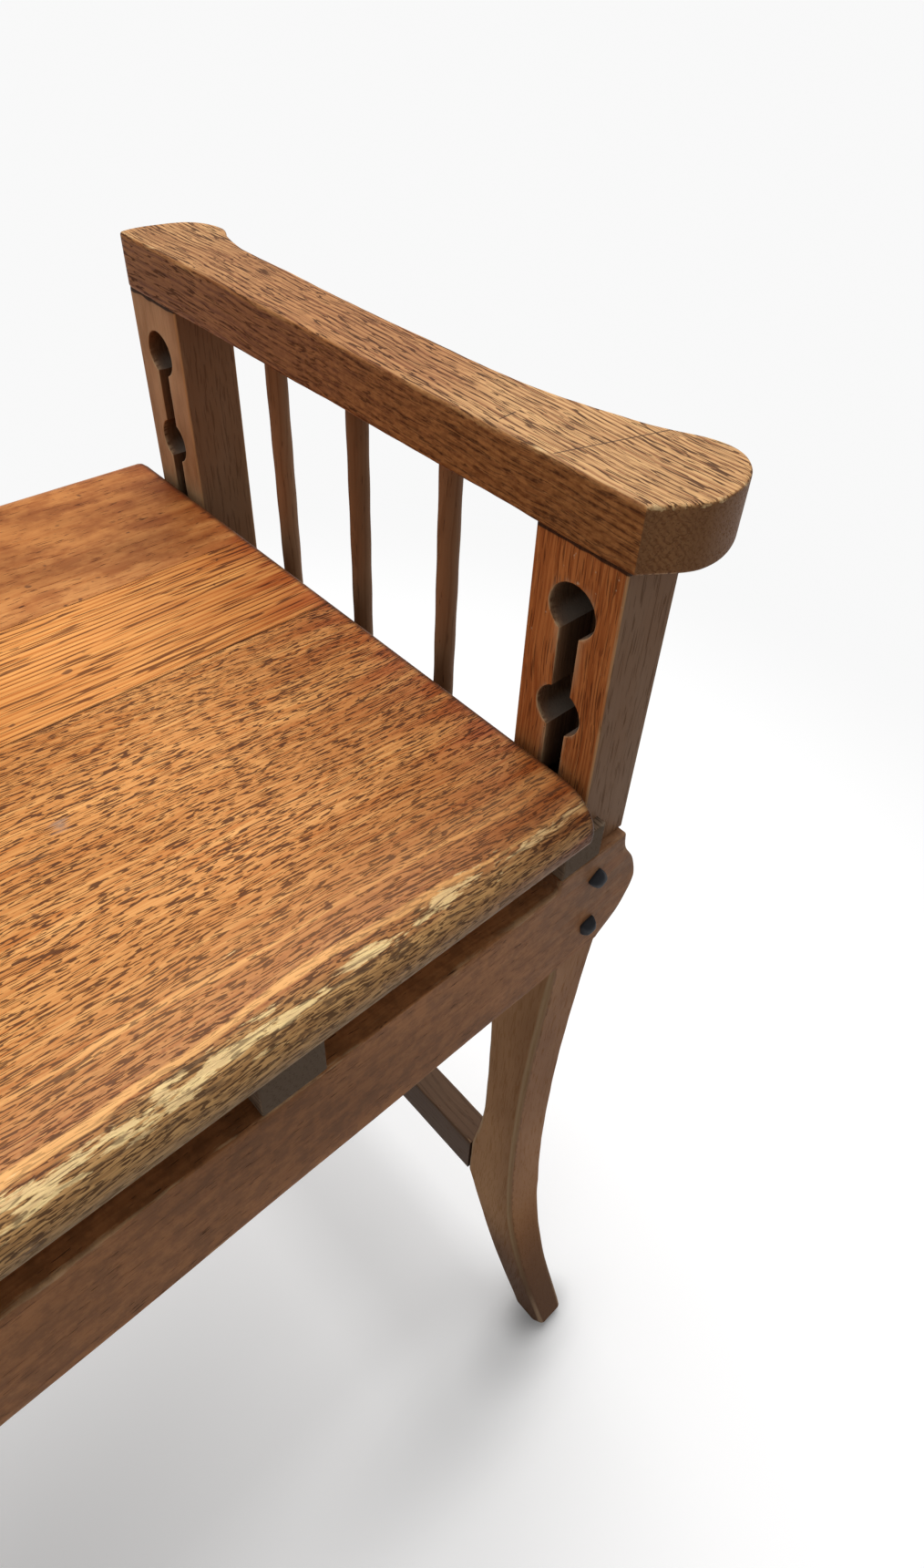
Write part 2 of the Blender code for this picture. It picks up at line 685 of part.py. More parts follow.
def make_rails():
    """Front and rear rail, bored for the coach screws."""
    rail = plate("front_rail", rail_outline(), "XZ", -RAIL_FACE, -RAIL_BACK, OAK_FRAME)
    ease_edges(rail, RAIL_ARRIS)
    holes = []
    for side, x in (("right", coach_x()), ("left", -coach_x())):
        for i, drop in enumerate(COACH_DROPS):
            holes.append(cylinder(
                f"rail_hole_{side}_{i}", (x, -RAIL_FACE - CUT_PAST, RAIL_TOP - drop),
                (x, -RAIL_BACK + CUT_PAST, RAIL_TOP - drop), COACH_SHANK_DIA / 2 + FIT, SMALL_SIDES,
            ))
    cut(rail, *holes)
    settle(rail)
    return [rail, mirrored(rail, "rear_rail", 1)]


def make_blocks():
    """Rest blocks on both rails. The inner ones stand in the finger bays and are taller."""
    made = []
    for i in range(BLOCK_COUNT):
        x = (i - (BLOCK_COUNT - 1) / 2) * BLOCK_PITCH
        at_end = i in (0, BLOCK_COUNT - 1)
        width = END_BLOCK_WIDTH if at_end else MID_BLOCK_WIDTH
        foot = RAIL_TOP + FIT - (0.0 if at_end else BAY_DROP)
        block = box(f"front_block_{i + 1}", (x - width / 2, -RAIL_FACE, foot),
                    (x + width / 2, -RAIL_BACK, BLOCK_TOP), OAK_END_GRAIN)
        ease_edges(block, BLOCK_ARRIS)
        settle(block)
        made += [block, mirrored(block, f"rear_block_{i + 1}", 1)]
    return made


def make_coach_screws():
    """Square-headed screws through each rail end. Each head stopped at its own angle."""
    made = []
    for level, drop, turn in zip(("upper", "lower"), COACH_DROPS, COACH_TURNS):
        shape = bmesh.new()
        half_diagonal = COACH_HEAD / math.sqrt(2)
        aim = Matrix.Rotation(math.radians(90), 4, "X") @ Matrix.Rotation(turn, 4, "Z")
        seated = COACH_HEAD_HEIGHT / 2 + FIT
        bmesh.ops.create_cone(
            shape, cap_ends=True, segments=4, radius1=half_diagonal,
            radius2=half_diagonal * COACH_HEAD_TAPER, depth=COACH_HEAD_HEIGHT,
            matrix=Matrix.Translation((0, -seated, 0)) @ aim,
        )
        mesh = bpy.data.meshes.new("coach_screw")
        shape.to_mesh(mesh)
        shape.free()
        screw = add_object(f"coach_screw_front_right_{level}", mesh,
                           (coach_x(), -RAIL_FACE, RAIL_TOP - drop), BLACK_IRON)
        shank = cylinder(
            f"coach_shank_{level}", (coach_x(), -RAIL_FACE - COACH_HEAD_HEIGHT / 2, RAIL_TOP - drop),
            (coach_x(), -RAIL_BACK + COACH_BITE, RAIL_TOP - drop), COACH_SHANK_DIA / 2, SMALL_SIDES,
        )
        cut(screw, shank, operation="UNION")
        settle(screw)
        rear = mirrored(screw, f"coach_screw_rear_right_{level}", 1)
        made += [screw, rear]
        made += [mirrored(screw, f"coach_screw_front_left_{level}", 0)]
        made += [mirrored(rear, f"coach_screw_rear_left_{level}", 0)]
    return made


def nosed_board(name, low, high, nose_low, nose_high):
    """A seat board along X. A free edge is rounded widely above and a little below."""
    wide, small = SEAT_NOSE_ROUND, SEAT_NOSE_FOOT
    points = []
    if nose_high:
        points += arc((high - small, SEAT_UNDER + small), small, -90, 0, HOLE_SIDES)
        points += arc((high - wide, SEAT_TOP - wide), wide, 0, 90, HOLE_SIDES)
    else:
        points += [(high, SEAT_UNDER), (high, SEAT_TOP)]
    if nose_low:
        points += arc((low + wide, SEAT_TOP - wide), wide, 90, 180, HOLE_SIDES)
        points += arc((low + small, SEAT_UNDER + small), small, 180, 270, HOLE_SIDES)
    else:
        points += [(low, SEAT_TOP), (low, SEAT_UNDER)]
    board = plate(name, corners(points), "YZ", -SEAT_HALF, SEAT_HALF, OAK_SEAT)
    edge = SEAT_HALF - FIT

    def at_end(a, b):
        """Edges round a board's end, but not those where it meets the next board."""
        joint = abs(a.y - b.y) < FIT
        return abs(a.x) > edge and abs(a.x - b.x) < FIT and not joint

    ease_chosen(board, SEAT_END_ROUND, 2, at_end)
    return board


def screw_places():
    """Y of a bearer's two screws."""
    return (-SCREW_SPACING / 2, SCREW_SPACING / 2)


def bearer_places():
    """X of each bearer."""
    outer = SEAT_HALF - BEARER_END_SETBACK - BEARER_THICK / 2
    inner = BLOCK_PITCH / 2
    return (-outer, -inner, inner, outer)


def make_seat():
    """Three boards edge to edge, with blind holes for the bearer screws."""
    first_joint = SEAT_FRONT + FRONT_BOARD
    second_joint = first_joint + MIDDLE_BOARD
    front = nosed_board("seat_board_front", SEAT_FRONT, first_joint - FIT / 2, True, False)
    middle = nosed_board(
        "seat_board_middle", first_joint + FIT / 2, second_joint - FIT / 2, False, False
    )
    rear = nosed_board("seat_board_rear", second_joint + FIT / 2, SEAT_BACK, False, True)
    for board, y in zip((front, rear), screw_places()):
        holes = [
            cylinder(f"{board.name}_hole_{i}", (x, y, SEAT_UNDER - CUT_PAST),
                     (x, y, SEAT_UNDER + SCREW_BITE + FIT), SCREW_SHANK_DIA / 2 + FIT, SMALL_SIDES)
            for i, x in enumerate(bearer_places())
        ]
        cut(board, *holes)
    return [front, middle, rear]


def make_bearers():
    """Battens under the seat, bored for the rods and counterbored for their screws."""
    top = SEAT_UNDER - FIT
    half = RAIL_BACK - BEARER_RAIL_ROOM
    made = []
    for i, x in enumerate(bearer_places()):
        bearer = box(f"bearer_{i + 1}", (x - BEARER_THICK / 2, -half, top - BEARER_DEPTH),
                     (x + BEARER_THICK / 2, half, top), OAK_FRAME)
        reach = BEARER_THICK / 2 + CUT_PAST
        tools = [
            cylinder(f"{bearer.name}_rod_hole_{side}", (x - reach, y, ROD_HEIGHT),
                     (x + reach, y, ROD_HEIGHT), ROD_DIA / 2 + FIT, HOLE_SIDES)
            for side, y in (("front", -POST_MID_Y), ("rear", POST_MID_Y))
        ]
        for end, y in zip(("front", "rear"), screw_places()):
            tools.append(cylinder(
                f"{bearer.name}_counterbore_{end}", (x, y, top - BEARER_DEPTH - CUT_PAST),
                (x, y, top - SCREW_GRIP), SCREW_HEAD_DIA / 2 + FIT, SMALL_SIDES,
            ))
            tools.append(cylinder(
                f"{bearer.name}_pilot_{end}", (x, y, top - SCREW_GRIP - CUT_PAST),
                (x, y, top + CUT_PAST), SCREW_SHANK_DIA / 2 + FIT, SMALL_SIDES,
            ))
        cut(bearer, *tools)
        made.append(bearer)
    return made


def make_bearer_screws():
    """Wood screws driven up through the bearers into the seat boards."""
    seat = SEAT_UNDER - FIT - SCREW_GRIP - FIT
    length = SCREW_GRIP + 2 * FIT + SCREW_BITE
    point = SCREW_SHANK_DIA
    profile = [
        (0.0, length),
        (SCREW_SHANK_DIA / 2, length - point),
        (SCREW_SHANK_DIA / 2, 0.0),
        (SCREW_HEAD_DIA / 2, 0.0),
        (SCREW_HEAD_DIA / 2, -SCREW_HEAD_HEIGHT),
        (0.0, -SCREW_HEAD_HEIGHT),
    ]
    return [
        turned(f"bearer_screw_{i + 1}_{end}", profile, (x, y, seat), SMALL_SIDES, BLACK_IRON)
        for i, x in enumerate(bearer_places())
        for end, y in zip(("front", "rear"), screw_places())
    ]


def make_rod(side, y):
    """A lock rod with its two key heads, its lever and the lever's pin, at rest: heads upright."""
    shoulder = POST_IN - FIT
    tip = shoulder + TANG_LENGTH
    rod = cylinder(f"{side}_lock_rod", (-tip, y, ROD_HEIGHT), (tip, y, ROD_HEIGHT), ROD_DIA / 2,
                   HOLE_SIDES, BLACK_IRON)
    flats = []
    for end, sign in (("right", 1), ("left", -1)):
        near, far = sorted((sign * shoulder, sign * (tip + CUT_PAST)))
        for cheek, low, high in (("near", -ROD_DIA, -TANG_THICK / 2), ("far", TANG_THICK / 2, ROD_DIA)):
            flats.append(box(
                f"{side}_tang_{end}_{cheek}",
                (near, y + low, ROD_HEIGHT - ROD_DIA), (far, y + high, ROD_HEIGHT + ROD_DIA),
            ))
    pin_hole = cylinder(
        f"{side}_pin_hole", (0, y - LEVER_EYE_DIA, ROD_HEIGHT), (0, y + LEVER_EYE_DIA, ROD_HEIGHT),
        LEVER_PIN_DIA / 2 + FIT, SMALL_SIDES,
    )
    cut(rod, *flats, pin_hole)
    pieces = [rod]
    pieces += make_key_heads(side, y, shoulder)
    pieces += make_lever(side, y, pin_hole)
    return pieces


def make_key_heads(side, y, shoulder):
    """Round heads with two flats, slotted to fit over the rod's tangs."""
    radius = KEY_DIA / 2 - HEAD_ROOM
    half = SLOT_WIDTH / 2 - HEAD_ROOM
    flat = math.degrees(math.acos(half / radius))
    points = arc((0, 0), radius, flat, 180 - flat, HOLE_SIDES * 2)
    points += [(-u, -v) for u, v in points]
    outline = [(y + u, ROD_HEIGHT + v) for u, v in points]
    near = shoulder + FIT
    far = POST_IN + KEY_DEPTH - HEAD_ROOM
    head = plate(f"{side}_key_head_right", corners(outline), "YZ", near, far, BLACK_IRON)
    slot = box(
        f"{side}_key_slot",
        (near - CUT_PAST, y - TANG_THICK / 2 - FIT, ROD_HEIGHT - ROD_DIA / 2 - FIT),
        (shoulder + TANG_LENGTH + FIT, y + TANG_THICK / 2 + FIT, ROD_HEIGHT + ROD_DIA / 2 + FIT),
    )
    cut(head, slot)
    settle(head)
    return [head, mirrored(head, f"{side}_key_head_left", 0)]


def make_lever(side, y, pin_hole):
    """A lever hanging from the rod: an eye round the rod, tapering to a rounded tip."""
    eye, tip = LEVER_EYE_DIA / 2, LEVER_TIP_DIA / 2
    lean = math.degrees(math.asin((eye - tip) / LEVER_LENGTH))
    points = arc((0, 0), eye, -lean, 180 + lean, HOLE_SIDES)
    points += arc((0, -LEVER_LENGTH), tip, 180 + lean, 360 - lean, ROUND_SIDES)
    outline = [(y + u, ROD_HEIGHT + v) for u, v in points]
    lever = plate(f"{side}_lock_lever", corners(outline), "YZ", -LEVER_THICK / 2, LEVER_THICK / 2,
                  BLACK_IRON)
    ease_edges(lever, FIT * 2)
    bore = cylinder(
        f"{side}_lever_bore", (-LEVER_THICK, y, ROD_HEIGHT), (LEVER_THICK, y, ROD_HEIGHT),
        ROD_DIA / 2 + FIT, HOLE_SIDES,
    )
    cut(lever, bore, pin_hole)
    reach = eye - FIT
    pin = cylinder(f"{side}_lever_pin", (0, y - reach, ROD_HEIGHT), (0, y + reach, ROD_HEIGHT),
                   LEVER_PIN_DIA / 2, SMALL_SIDES, BLACK_IRON)
    return [lever, pin]


def build():
    """Makes every piece and groups them by what they move with."""
    frame = make_posts() + make_arms() + make_spindles() + make_side_rails() + make_stretchers()
    frame += make_rails() + make_blocks() + make_coach_screws()
    seat = make_seat() + make_bearers() + make_bearer_screws()
    group_under("frame_datum", (0, 0, 0), frame)
    group_under("seat_datum", (0, 0, SEAT_UNDER), seat)
    for side, y in (("front", -POST_MID_Y), ("rear", POST_MID_Y)):
        group_under(f"{side}_rod_axis", (0, y, ROD_HEIGHT), make_rod(side, y))


build()
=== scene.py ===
"""Looks of the adjustable oak stool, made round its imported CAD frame.

Metres, +Z up, in the frame's own place. Boards are grids of points worked out from their two edges
and their thickness, and turned pieces are profiles carried round an axis. Each finish is a
procedural material on Object coordinates, helped by attributes that say how close a point lies to
an edge and how much hands and clothes have rubbed it.
"""

import math

import bmesh
import bpy
import numpy as np
from bpy.props import FloatProperty, FloatVectorProperty, PointerProperty
from mathutils import Euler, Matrix, Vector


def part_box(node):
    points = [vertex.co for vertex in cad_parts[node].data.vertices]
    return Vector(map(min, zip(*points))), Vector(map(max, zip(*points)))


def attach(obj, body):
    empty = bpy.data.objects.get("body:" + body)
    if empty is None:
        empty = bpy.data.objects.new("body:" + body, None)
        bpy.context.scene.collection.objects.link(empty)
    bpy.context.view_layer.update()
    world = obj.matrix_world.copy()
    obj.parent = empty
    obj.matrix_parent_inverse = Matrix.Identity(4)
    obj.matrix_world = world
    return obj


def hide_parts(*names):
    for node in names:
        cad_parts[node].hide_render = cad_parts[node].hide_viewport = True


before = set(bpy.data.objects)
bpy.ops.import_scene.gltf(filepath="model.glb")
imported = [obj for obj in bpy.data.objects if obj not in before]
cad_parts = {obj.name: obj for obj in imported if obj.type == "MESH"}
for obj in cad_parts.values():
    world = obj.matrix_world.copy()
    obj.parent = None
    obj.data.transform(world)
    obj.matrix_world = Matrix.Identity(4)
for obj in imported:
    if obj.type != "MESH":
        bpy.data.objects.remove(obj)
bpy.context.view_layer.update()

bl_info = {
    "name": "Adjustable oak stool",
    "version": (1, 0, 0),
    "blender": (4, 5, 0),
    "location": "View3D > Sidebar > Stool",
    "description": "Builds the worn oak and black iron of an adjustable stool",
    "category": "Add Mesh",
}

CORNER, SMOOTH = 0, 1         # kinds of knot in an outline
CURVE_STEPS = 14              # points on each stretch of an outline
ROUND_STEPS = 6               # columns in the rounding of a board's edge
EDGE_REACH = 0.0035           # how far from an edge its wear fades, as an exponential
NUDGE = 1e-7                  # keeps samples just inside a board's ends
JOINT_EASE = 0.0002           # tiny rounding where two seat boards meet
WELD = 2e-6                   # points closer than this are one
SHARP = math.radians(38)      # edges sharper than this stay sharp
NOSE_TURN = 0.72              # share of the nose that is its wide rounding
WALL_SHARES = np.array([0, 0.04, 0.12, 0.25, 0.5, 0.75, 0.88, 0.96, 1])  # rows down a wall
UPPER_HALF = (WALL_SHARES < 0.5)[:, None] * 1.0
LEFT, RIGHT = -1, 1
FRONT, REAR = 1, -1           # signs that carry the front right piece to its copies


def box_of(node):
    """A node's lowest and highest corner as arrays."""
    low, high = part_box(node)
    return np.array(low), np.array(high)


POST_LOW, POST_HIGH = box_of("front_post_right")
ARM_LOW, ARM_HIGH = box_of("arm_right")
RAIL_LOW, RAIL_HIGH = box_of("front_rail")
BLOCK_LOW, BLOCK_HIGH = box_of("front_block_4")
SEAT_LOW, SEAT_HIGH = box_of("seat_board_front")
SEAT_REAR = box_of("seat_board_rear")[1][1]
STRETCHER_LOW, STRETCHER_HIGH = box_of("stretcher_right")
SIDE_LOW, SIDE_HIGH = box_of("side_rail_right")
POST_IN, POST_OUT = POST_LOW[0], POST_HIGH[0]
POST_TOP = ARM_LOW[2]
RAIL_TOP, RAIL_FOOT = RAIL_HIGH[2], RAIL_LOW[2]


class StoolSizes(bpy.types.PropertyGroup):
    """Sizes of the stool's worn edges, keyholes and curves."""

    post_front: FloatProperty(
        name="Post front", description="Distance of the posts' faces from the middle",
        default=0.150, subtype="DISTANCE")
    post_width: FloatProperty(
        name="Post width", description="Width of a post from front to back",
        default=0.0388, subtype="DISTANCE")
    post_arris: FloatProperty(
        name="Post arris", description="Rounding of the posts' edges",
        default=0.0011, subtype="DISTANCE")
    leg_arris: FloatProperty(
        name="Leg arris", description="Rounding of the edges of the legs, below the rails",
        default=0.0034, subtype="DISTANCE")
    arm_arris: FloatProperty(
        name="Arm arris", description="Rounding of the arms' edges",
        default=0.0017, subtype="DISTANCE")
    rail_arris: FloatProperty(
        name="Rail arris", description="Rounding of the rails' edges",
        default=0.0009, subtype="DISTANCE")
    seat_end_round: FloatProperty(
        name="Seat end rounding", description="Rounding of the seat's two ends",
        default=0.0024, subtype="DISTANCE")
    seat_corner: FloatProperty(
        name="Seat corner", description="How far the seat's corners are worn back",
        default=0.0022, subtype="DISTANCE")
    nose_round: FloatProperty(
        name="Nose rounding", description="Wide rounding above the seat's front and back edge",
        default=0.0150, subtype="DISTANCE")
    nose_foot: FloatProperty(
        name="Nose foot", description="Small rounding below the seat's front and back edge",
        default=0.0040, subtype="DISTANCE")
    bay_drop: FloatProperty(
        name="Bay depth", description="Depth of the finger bays in the rails",
        default=0.0055, subtype="DISTANCE")
    screw_head: FloatProperty(
        name="Screw head", description="Width of the coach screws' square heads",
        default=0.0078, subtype="DISTANCE")
    hole_diameter: FloatProperty(
        name="Keyhole diameter", description="Diameter of the keyholes' round part",
        default=0.0204, subtype="DISTANCE")
    slot_width: FloatProperty(
        name="Slot width", description="Width of the slot between the round holes",
        default=0.0087, subtype="DISTANCE")
    hole_pitch: FloatProperty(
        name="Hole pitch", description="Height from one round hole to the next",
        default=0.0431, subtype="DISTANCE")
    hole_top: FloatProperty(
        name="Top hole", description="Height of the topmost hole's centre",
        default=0.563, subtype="DISTANCE")
    hole_depth: FloatProperty(
        name="Keyhole depth", description="Depth of the keyholes in the posts",
        default=0.018, subtype="DISTANCE")
    hole_rim: FloatProperty(
        name="Keyhole rim", description="Worn rounding at the keyholes' edges",
        default=0.0004, subtype="DISTANCE")


class StoolColours(bpy.types.PropertyGroup):
    """Colours of the stool's oak and iron, as linear values."""

    seat_light: FloatVectorProperty(
        name="Seat light", description="Golden late wood of the seat",
        default=(0.92, 0.500, 0.172), size=3, subtype="COLOR")
    seat_dark: FloatVectorProperty(
        name="Seat dark", description="Red-brown early wood of the seat",
        default=(0.42, 0.102, 0.004), size=3, subtype="COLOR")
    seat_pore: FloatVectorProperty(
        name="Seat pore", description="Dark pores of the seat",
        default=(0.075, 0.024, 0.010), size=3, subtype="COLOR")
    line_pore: FloatVectorProperty(
        name="Line pore", description="Brown pores of the seat's middle board",
        default=(0.150, 0.047, 0.012), size=3, subtype="COLOR")
    bare_oak: FloatVectorProperty(
        name="Bare oak", description="Oak rubbed down to pale wood",
        default=(0.98, 0.73, 0.34), size=3, subtype="COLOR")
    arm_light: FloatVectorProperty(
        name="Arm light", description="Light wood of the arms",
        default=(0.56, 0.318, 0.134), size=3, subtype="COLOR")
    arm_dark: FloatVectorProperty(
        name="Arm dark", description="Dark wood of the arms",
        default=(0.255, 0.108, 0.039), size=3, subtype="COLOR")
    arm_stain: FloatVectorProperty(
        name="Arm stain", description="Tint of the red-brown varnish left on the arms",
        default=(0.83, 0.71, 0.65), size=3, subtype="COLOR")
    warm_light: FloatVectorProperty(
        name="Post inner light", description="Varnished inner sides of the posts",
        default=(0.54, 0.195, 0.058), size=3, subtype="COLOR")
    warm_dark: FloatVectorProperty(
        name="Post inner dark", description="Dark grain of the posts' inner sides",
        default=(0.33, 0.094, 0.023), size=3, subtype="COLOR")
    frame_light: FloatVectorProperty(
        name="Frame light", description="Dull stained oak of the legs",
        default=(0.31, 0.163, 0.082), size=3, subtype="COLOR")
    frame_dark: FloatVectorProperty(
        name="Frame dark", description="Dark grain of the legs",
        default=(0.20, 0.092, 0.040), size=3, subtype="COLOR")
    frame_pore: FloatVectorProperty(
        name="Frame pore", description="Pores of legs, rails and arms",
        default=(0.062, 0.024, 0.009), size=3, subtype="COLOR")
    rail_light: FloatVectorProperty(
        name="Rail light", description="Reddish stained oak of the rails",
        default=(0.36, 0.155, 0.058), size=3, subtype="COLOR")
    rail_dark: FloatVectorProperty(
        name="Rail dark", description="Dark grain of the rails",
        default=(0.23, 0.088, 0.030), size=3, subtype="COLOR")
    # Bar light and bar dark: dark stain, darkened further as painted shade for the stretchers under the
    # seat; the side rails share them.
    bar_light: FloatVectorProperty(
        name="Bar light", description="Dark stained oak of stretchers and side rails",
        default=(0.12, 0.066, 0.037), size=3, subtype="COLOR")
    bar_dark: FloatVectorProperty(
        name="Bar dark", description="Dark grain of stretchers and side rails",
        default=(0.065, 0.034, 0.018), size=3, subtype="COLOR")
    dull_grey: FloatVectorProperty(
        name="Dull grey", description="Greyed oak of post fronts and rail ends",
        default=(0.22, 0.124, 0.070), size=3, subtype="COLOR")
    end_grain: FloatVectorProperty(
        name="End grain", description="Grey end grain of the rest blocks",
        default=(0.25, 0.166, 0.106), size=3, subtype="COLOR")
    iron: FloatVectorProperty(
        name="Iron", description="Blackened iron",
        default=(0.088, 0.096, 0.107), size=3, subtype="COLOR")


class StoolStage(bpy.types.PropertyGroup):
    """Floor, lamps and camera."""

    floor: FloatVectorProperty(
        name="Floor", description="Colour of the floor",
        default=(0.80, 0.80, 0.80), size=3, subtype="COLOR")
    backdrop: FloatVectorProperty(
        name="Backdrop", description="Colour that the floor fades into",
        default=(0.945, 0.945, 0.945), size=3, subtype="COLOR")
    lamp_watts: FloatProperty(
        name="Overhead lamp", description="Power of the overhead lamp", default=45.0)
    sky: FloatProperty(
        name="Sky", description="Strength of the even light all round", default=0.42)
    lift: FloatProperty(
        name="Floor lift", description="Brightness added to the floor where it is seen", default=0.245)
    lens: FloatProperty(
        name="Lens", description="Focal length on a 36 mm frame, in millimetres", default=22.12)


# Grids and meshes


def grid_quads(rows, cols, wrap):
    """Corner numbers of a grid's quads, closed across the columns where wrap is set."""
    i = np.arange(rows - 1)[:, None]
    j = np.arange(cols if wrap else cols - 1)[None, :]
    after = (j + 1) % cols
    corners = (i * cols + j, i * cols + after, (i + 1) * cols + after, (i + 1) * cols + j)
    return np.stack(np.broadcast_arrays(*corners), -1)


class Patch:
    """One grid of points with what is known about each, from 0 to 1: edge, rub, dirt and painted shade,
    and pocket, which is dust and painted shade.
    """

    def __init__(self, points, wrap=False, skip=None, **known):
        self.points = points
        self.wrap = wrap
        self.skip = skip
        self.known = known

    def quads(self):
        """The grid's quads, without a block of (first row, last row, first column, last column)."""
        rows, cols = self.points.shape[:2]
        quads = grid_quads(rows, cols, self.wrap)
        if self.skip:
            row, last_row, col, last_col = self.skip
            keep = np.ones(quads.shape[:2], bool)
            keep[row:last_row, col:last_col] = False
            return quads[keep]
        return quads.reshape(-1, 4)

    def placed(self, axes, sign):
        """The grid's points with u, v and w laid along the named axes, then mirrored by sign."""
        order = [axes.index(axis) for axis in "XYZ"]
        return self.points[..., order] * np.array(sign)


def finished(node, patches, material, body, axes="XYZ", sign=(1, 1, 1)):
    """Places grids and welds them into one closed mesh with outward faces, for a CAD node."""
    points, quads, first = [], [], 0
    names = ("edge", "rub", "grime", "pocket")
    known = {name: [] for name in names}
    for patch in patches:
        shape = patch.points.shape[:2]
        points.append(patch.placed(axes, sign).reshape(-1, 3))
        quads.append(patch.quads() + first)
        first += shape[0] * shape[1]
        for name in names:
            known[name].append(np.broadcast_to(patch.known.get(name, 0.0), shape).ravel())
    mesh = bpy.data.meshes.new(f"finished_{node}")
    mesh.from_pydata(np.concatenate(points), [], np.concatenate(quads).tolist())
    for name in names:
        layer = mesh.attributes.new(name, "FLOAT", "POINT")
        layer.data.foreach_set("value", np.concatenate(known[name]).astype(np.float32))
    shape = bmesh.new()
    shape.from_mesh(mesh)
    bmesh.ops.remove_doubles(shape, verts=shape.verts, dist=WELD)
    bmesh.ops.dissolve_degenerate(shape, edges=shape.edges, dist=WELD)
    bmesh.ops.recalc_face_normals(shape, faces=shape.faces)
    shape.to_mesh(mesh)
    shape.free()
    mesh.shade_smooth()
    mesh.set_sharp_from_angle(angle=SHARP)
    mesh.materials.append(material)
    piece = bpy.data.objects.new(f"finished_{node}", mesh)
    bpy.context.scene.collection.objects.link(piece)
    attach(piece, body)
    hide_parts(node)
    return piece


def ripple(a, b, seed):
    """Smooth unevenness between about -1 and 1: a sum of sine waves in drawn directions."""
    draw = np.random.default_rng(seed)
    total = np.zeros(np.broadcast(a, b).shape)
    for octave in range(4):
        along, over = draw.normal(0.0, 1.0, 2) * 2 ** octave
        total = total + np.sin(along * a + over * b + draw.uniform(0, 2 * math.pi)) / 1.6 ** octave
    return total / 2.0


def curve_through(knots):
    """Closed outline through (u, v, kind) knots.

    Each stretch is a cubic Bezier curve. At a smooth knot its handle lies along the line between
    the knot's neighbours and is a third of the stretch long. At a corner it points straight on.
    """
    knots = np.array(knots, float)
    here, smooth = knots[:, :2], knots[:, 2:] == SMOOTH
    ahead, behind = np.roll(here, -1, 0), np.roll(here, 1, 0)
    chord = ahead - behind
    chord /= np.linalg.norm(chord, axis=1, keepdims=True)
    third = (ahead - here) / 3
    reach = np.linalg.norm(third, axis=1, keepdims=True)
    leave = here + np.where(smooth, chord * reach, third)
    arrive = ahead - np.where(np.roll(smooth, -1, 0), np.roll(chord, -1, 0) * reach, third)
    t = np.linspace(0, 1, CURVE_STEPS, endpoint=False)[None, :, None]
    stretches = (here[:, None] * (1 - t) ** 3 + leave[:, None] * 3 * t * (1 - t) ** 2
                 + arrive[:, None] * 3 * t ** 2 * (1 - t) + ahead[:, None] * t ** 3)
    return stretches.reshape(-1, 2)


def two_edges(outline, stations):
    """The outline's lower and upper v at each station u, from its two sides between the ends."""
    first, last = np.argmin(outline[:, 0]), np.argmax(outline[:, 0])
    around = np.roll(outline, -first, 0)
    turn = (last - first) % len(outline)
    one = around[:turn + 1]
    other = np.concatenate([around[turn:], around[:1]])[::-1]
    inside = np.clip(stations, outline[first, 0] + NUDGE, outline[last, 0] - NUDGE)
    values = [np.interp(inside, np.maximum.accumulate(side[:, 0]), side[:, 1])
              for side in (one, other)]
    return np.minimum(*values), np.maximum(*values)


def spaced(low, high, step, *extra):
    """Stations from low to high about a step apart, with extra ones put in."""
    even = np.linspace(low, high, max(2, int(round((high - low) / step)) + 1))
    every = np.unique(np.concatenate([even, *[np.atleast_1d(e) for e in extra]]))
    every = every[(every >= low) & (every <= high)]
    keep = np.concatenate([[True], np.diff(every) > WELD * 5])
    return every[keep]


def quarter(radius, steps=ROUND_STEPS):
    """Offsets from an edge at which a quarter round of that radius is cut into even turns."""
    return radius * (1 - np.cos(np.linspace(0, math.pi / 2, steps + 1)))


def fall(distance, radius):
    """How far a quarter round has dropped at a distance from its edge."""
    radius = np.maximum(radius, NUDGE)
    short = np.clip(radius - distance, 0, radius)
    return radius - np.sqrt(np.maximum(radius ** 2 - short ** 2, 0))


def columns_across(a, b, near, far, inner):
    """Places across a board at each station: at offsets from both edges, and even between them."""
    taken = 1.05 * (near[..., -1] + far[..., -1]) + NUDGE
    room = np.clip((b - a) / taken, 0, 1)[:, None]
    first = a[:, None] + room * near
    last = b[:, None] - room * far[..., ::-1]
    share = np.linspace(0, 1, inner + 2)[1:-1]
    middle = first[:, -1:] + (last[:, :1] - first[:, -1:]) * share
    return np.concatenate([first, middle, last], 1)


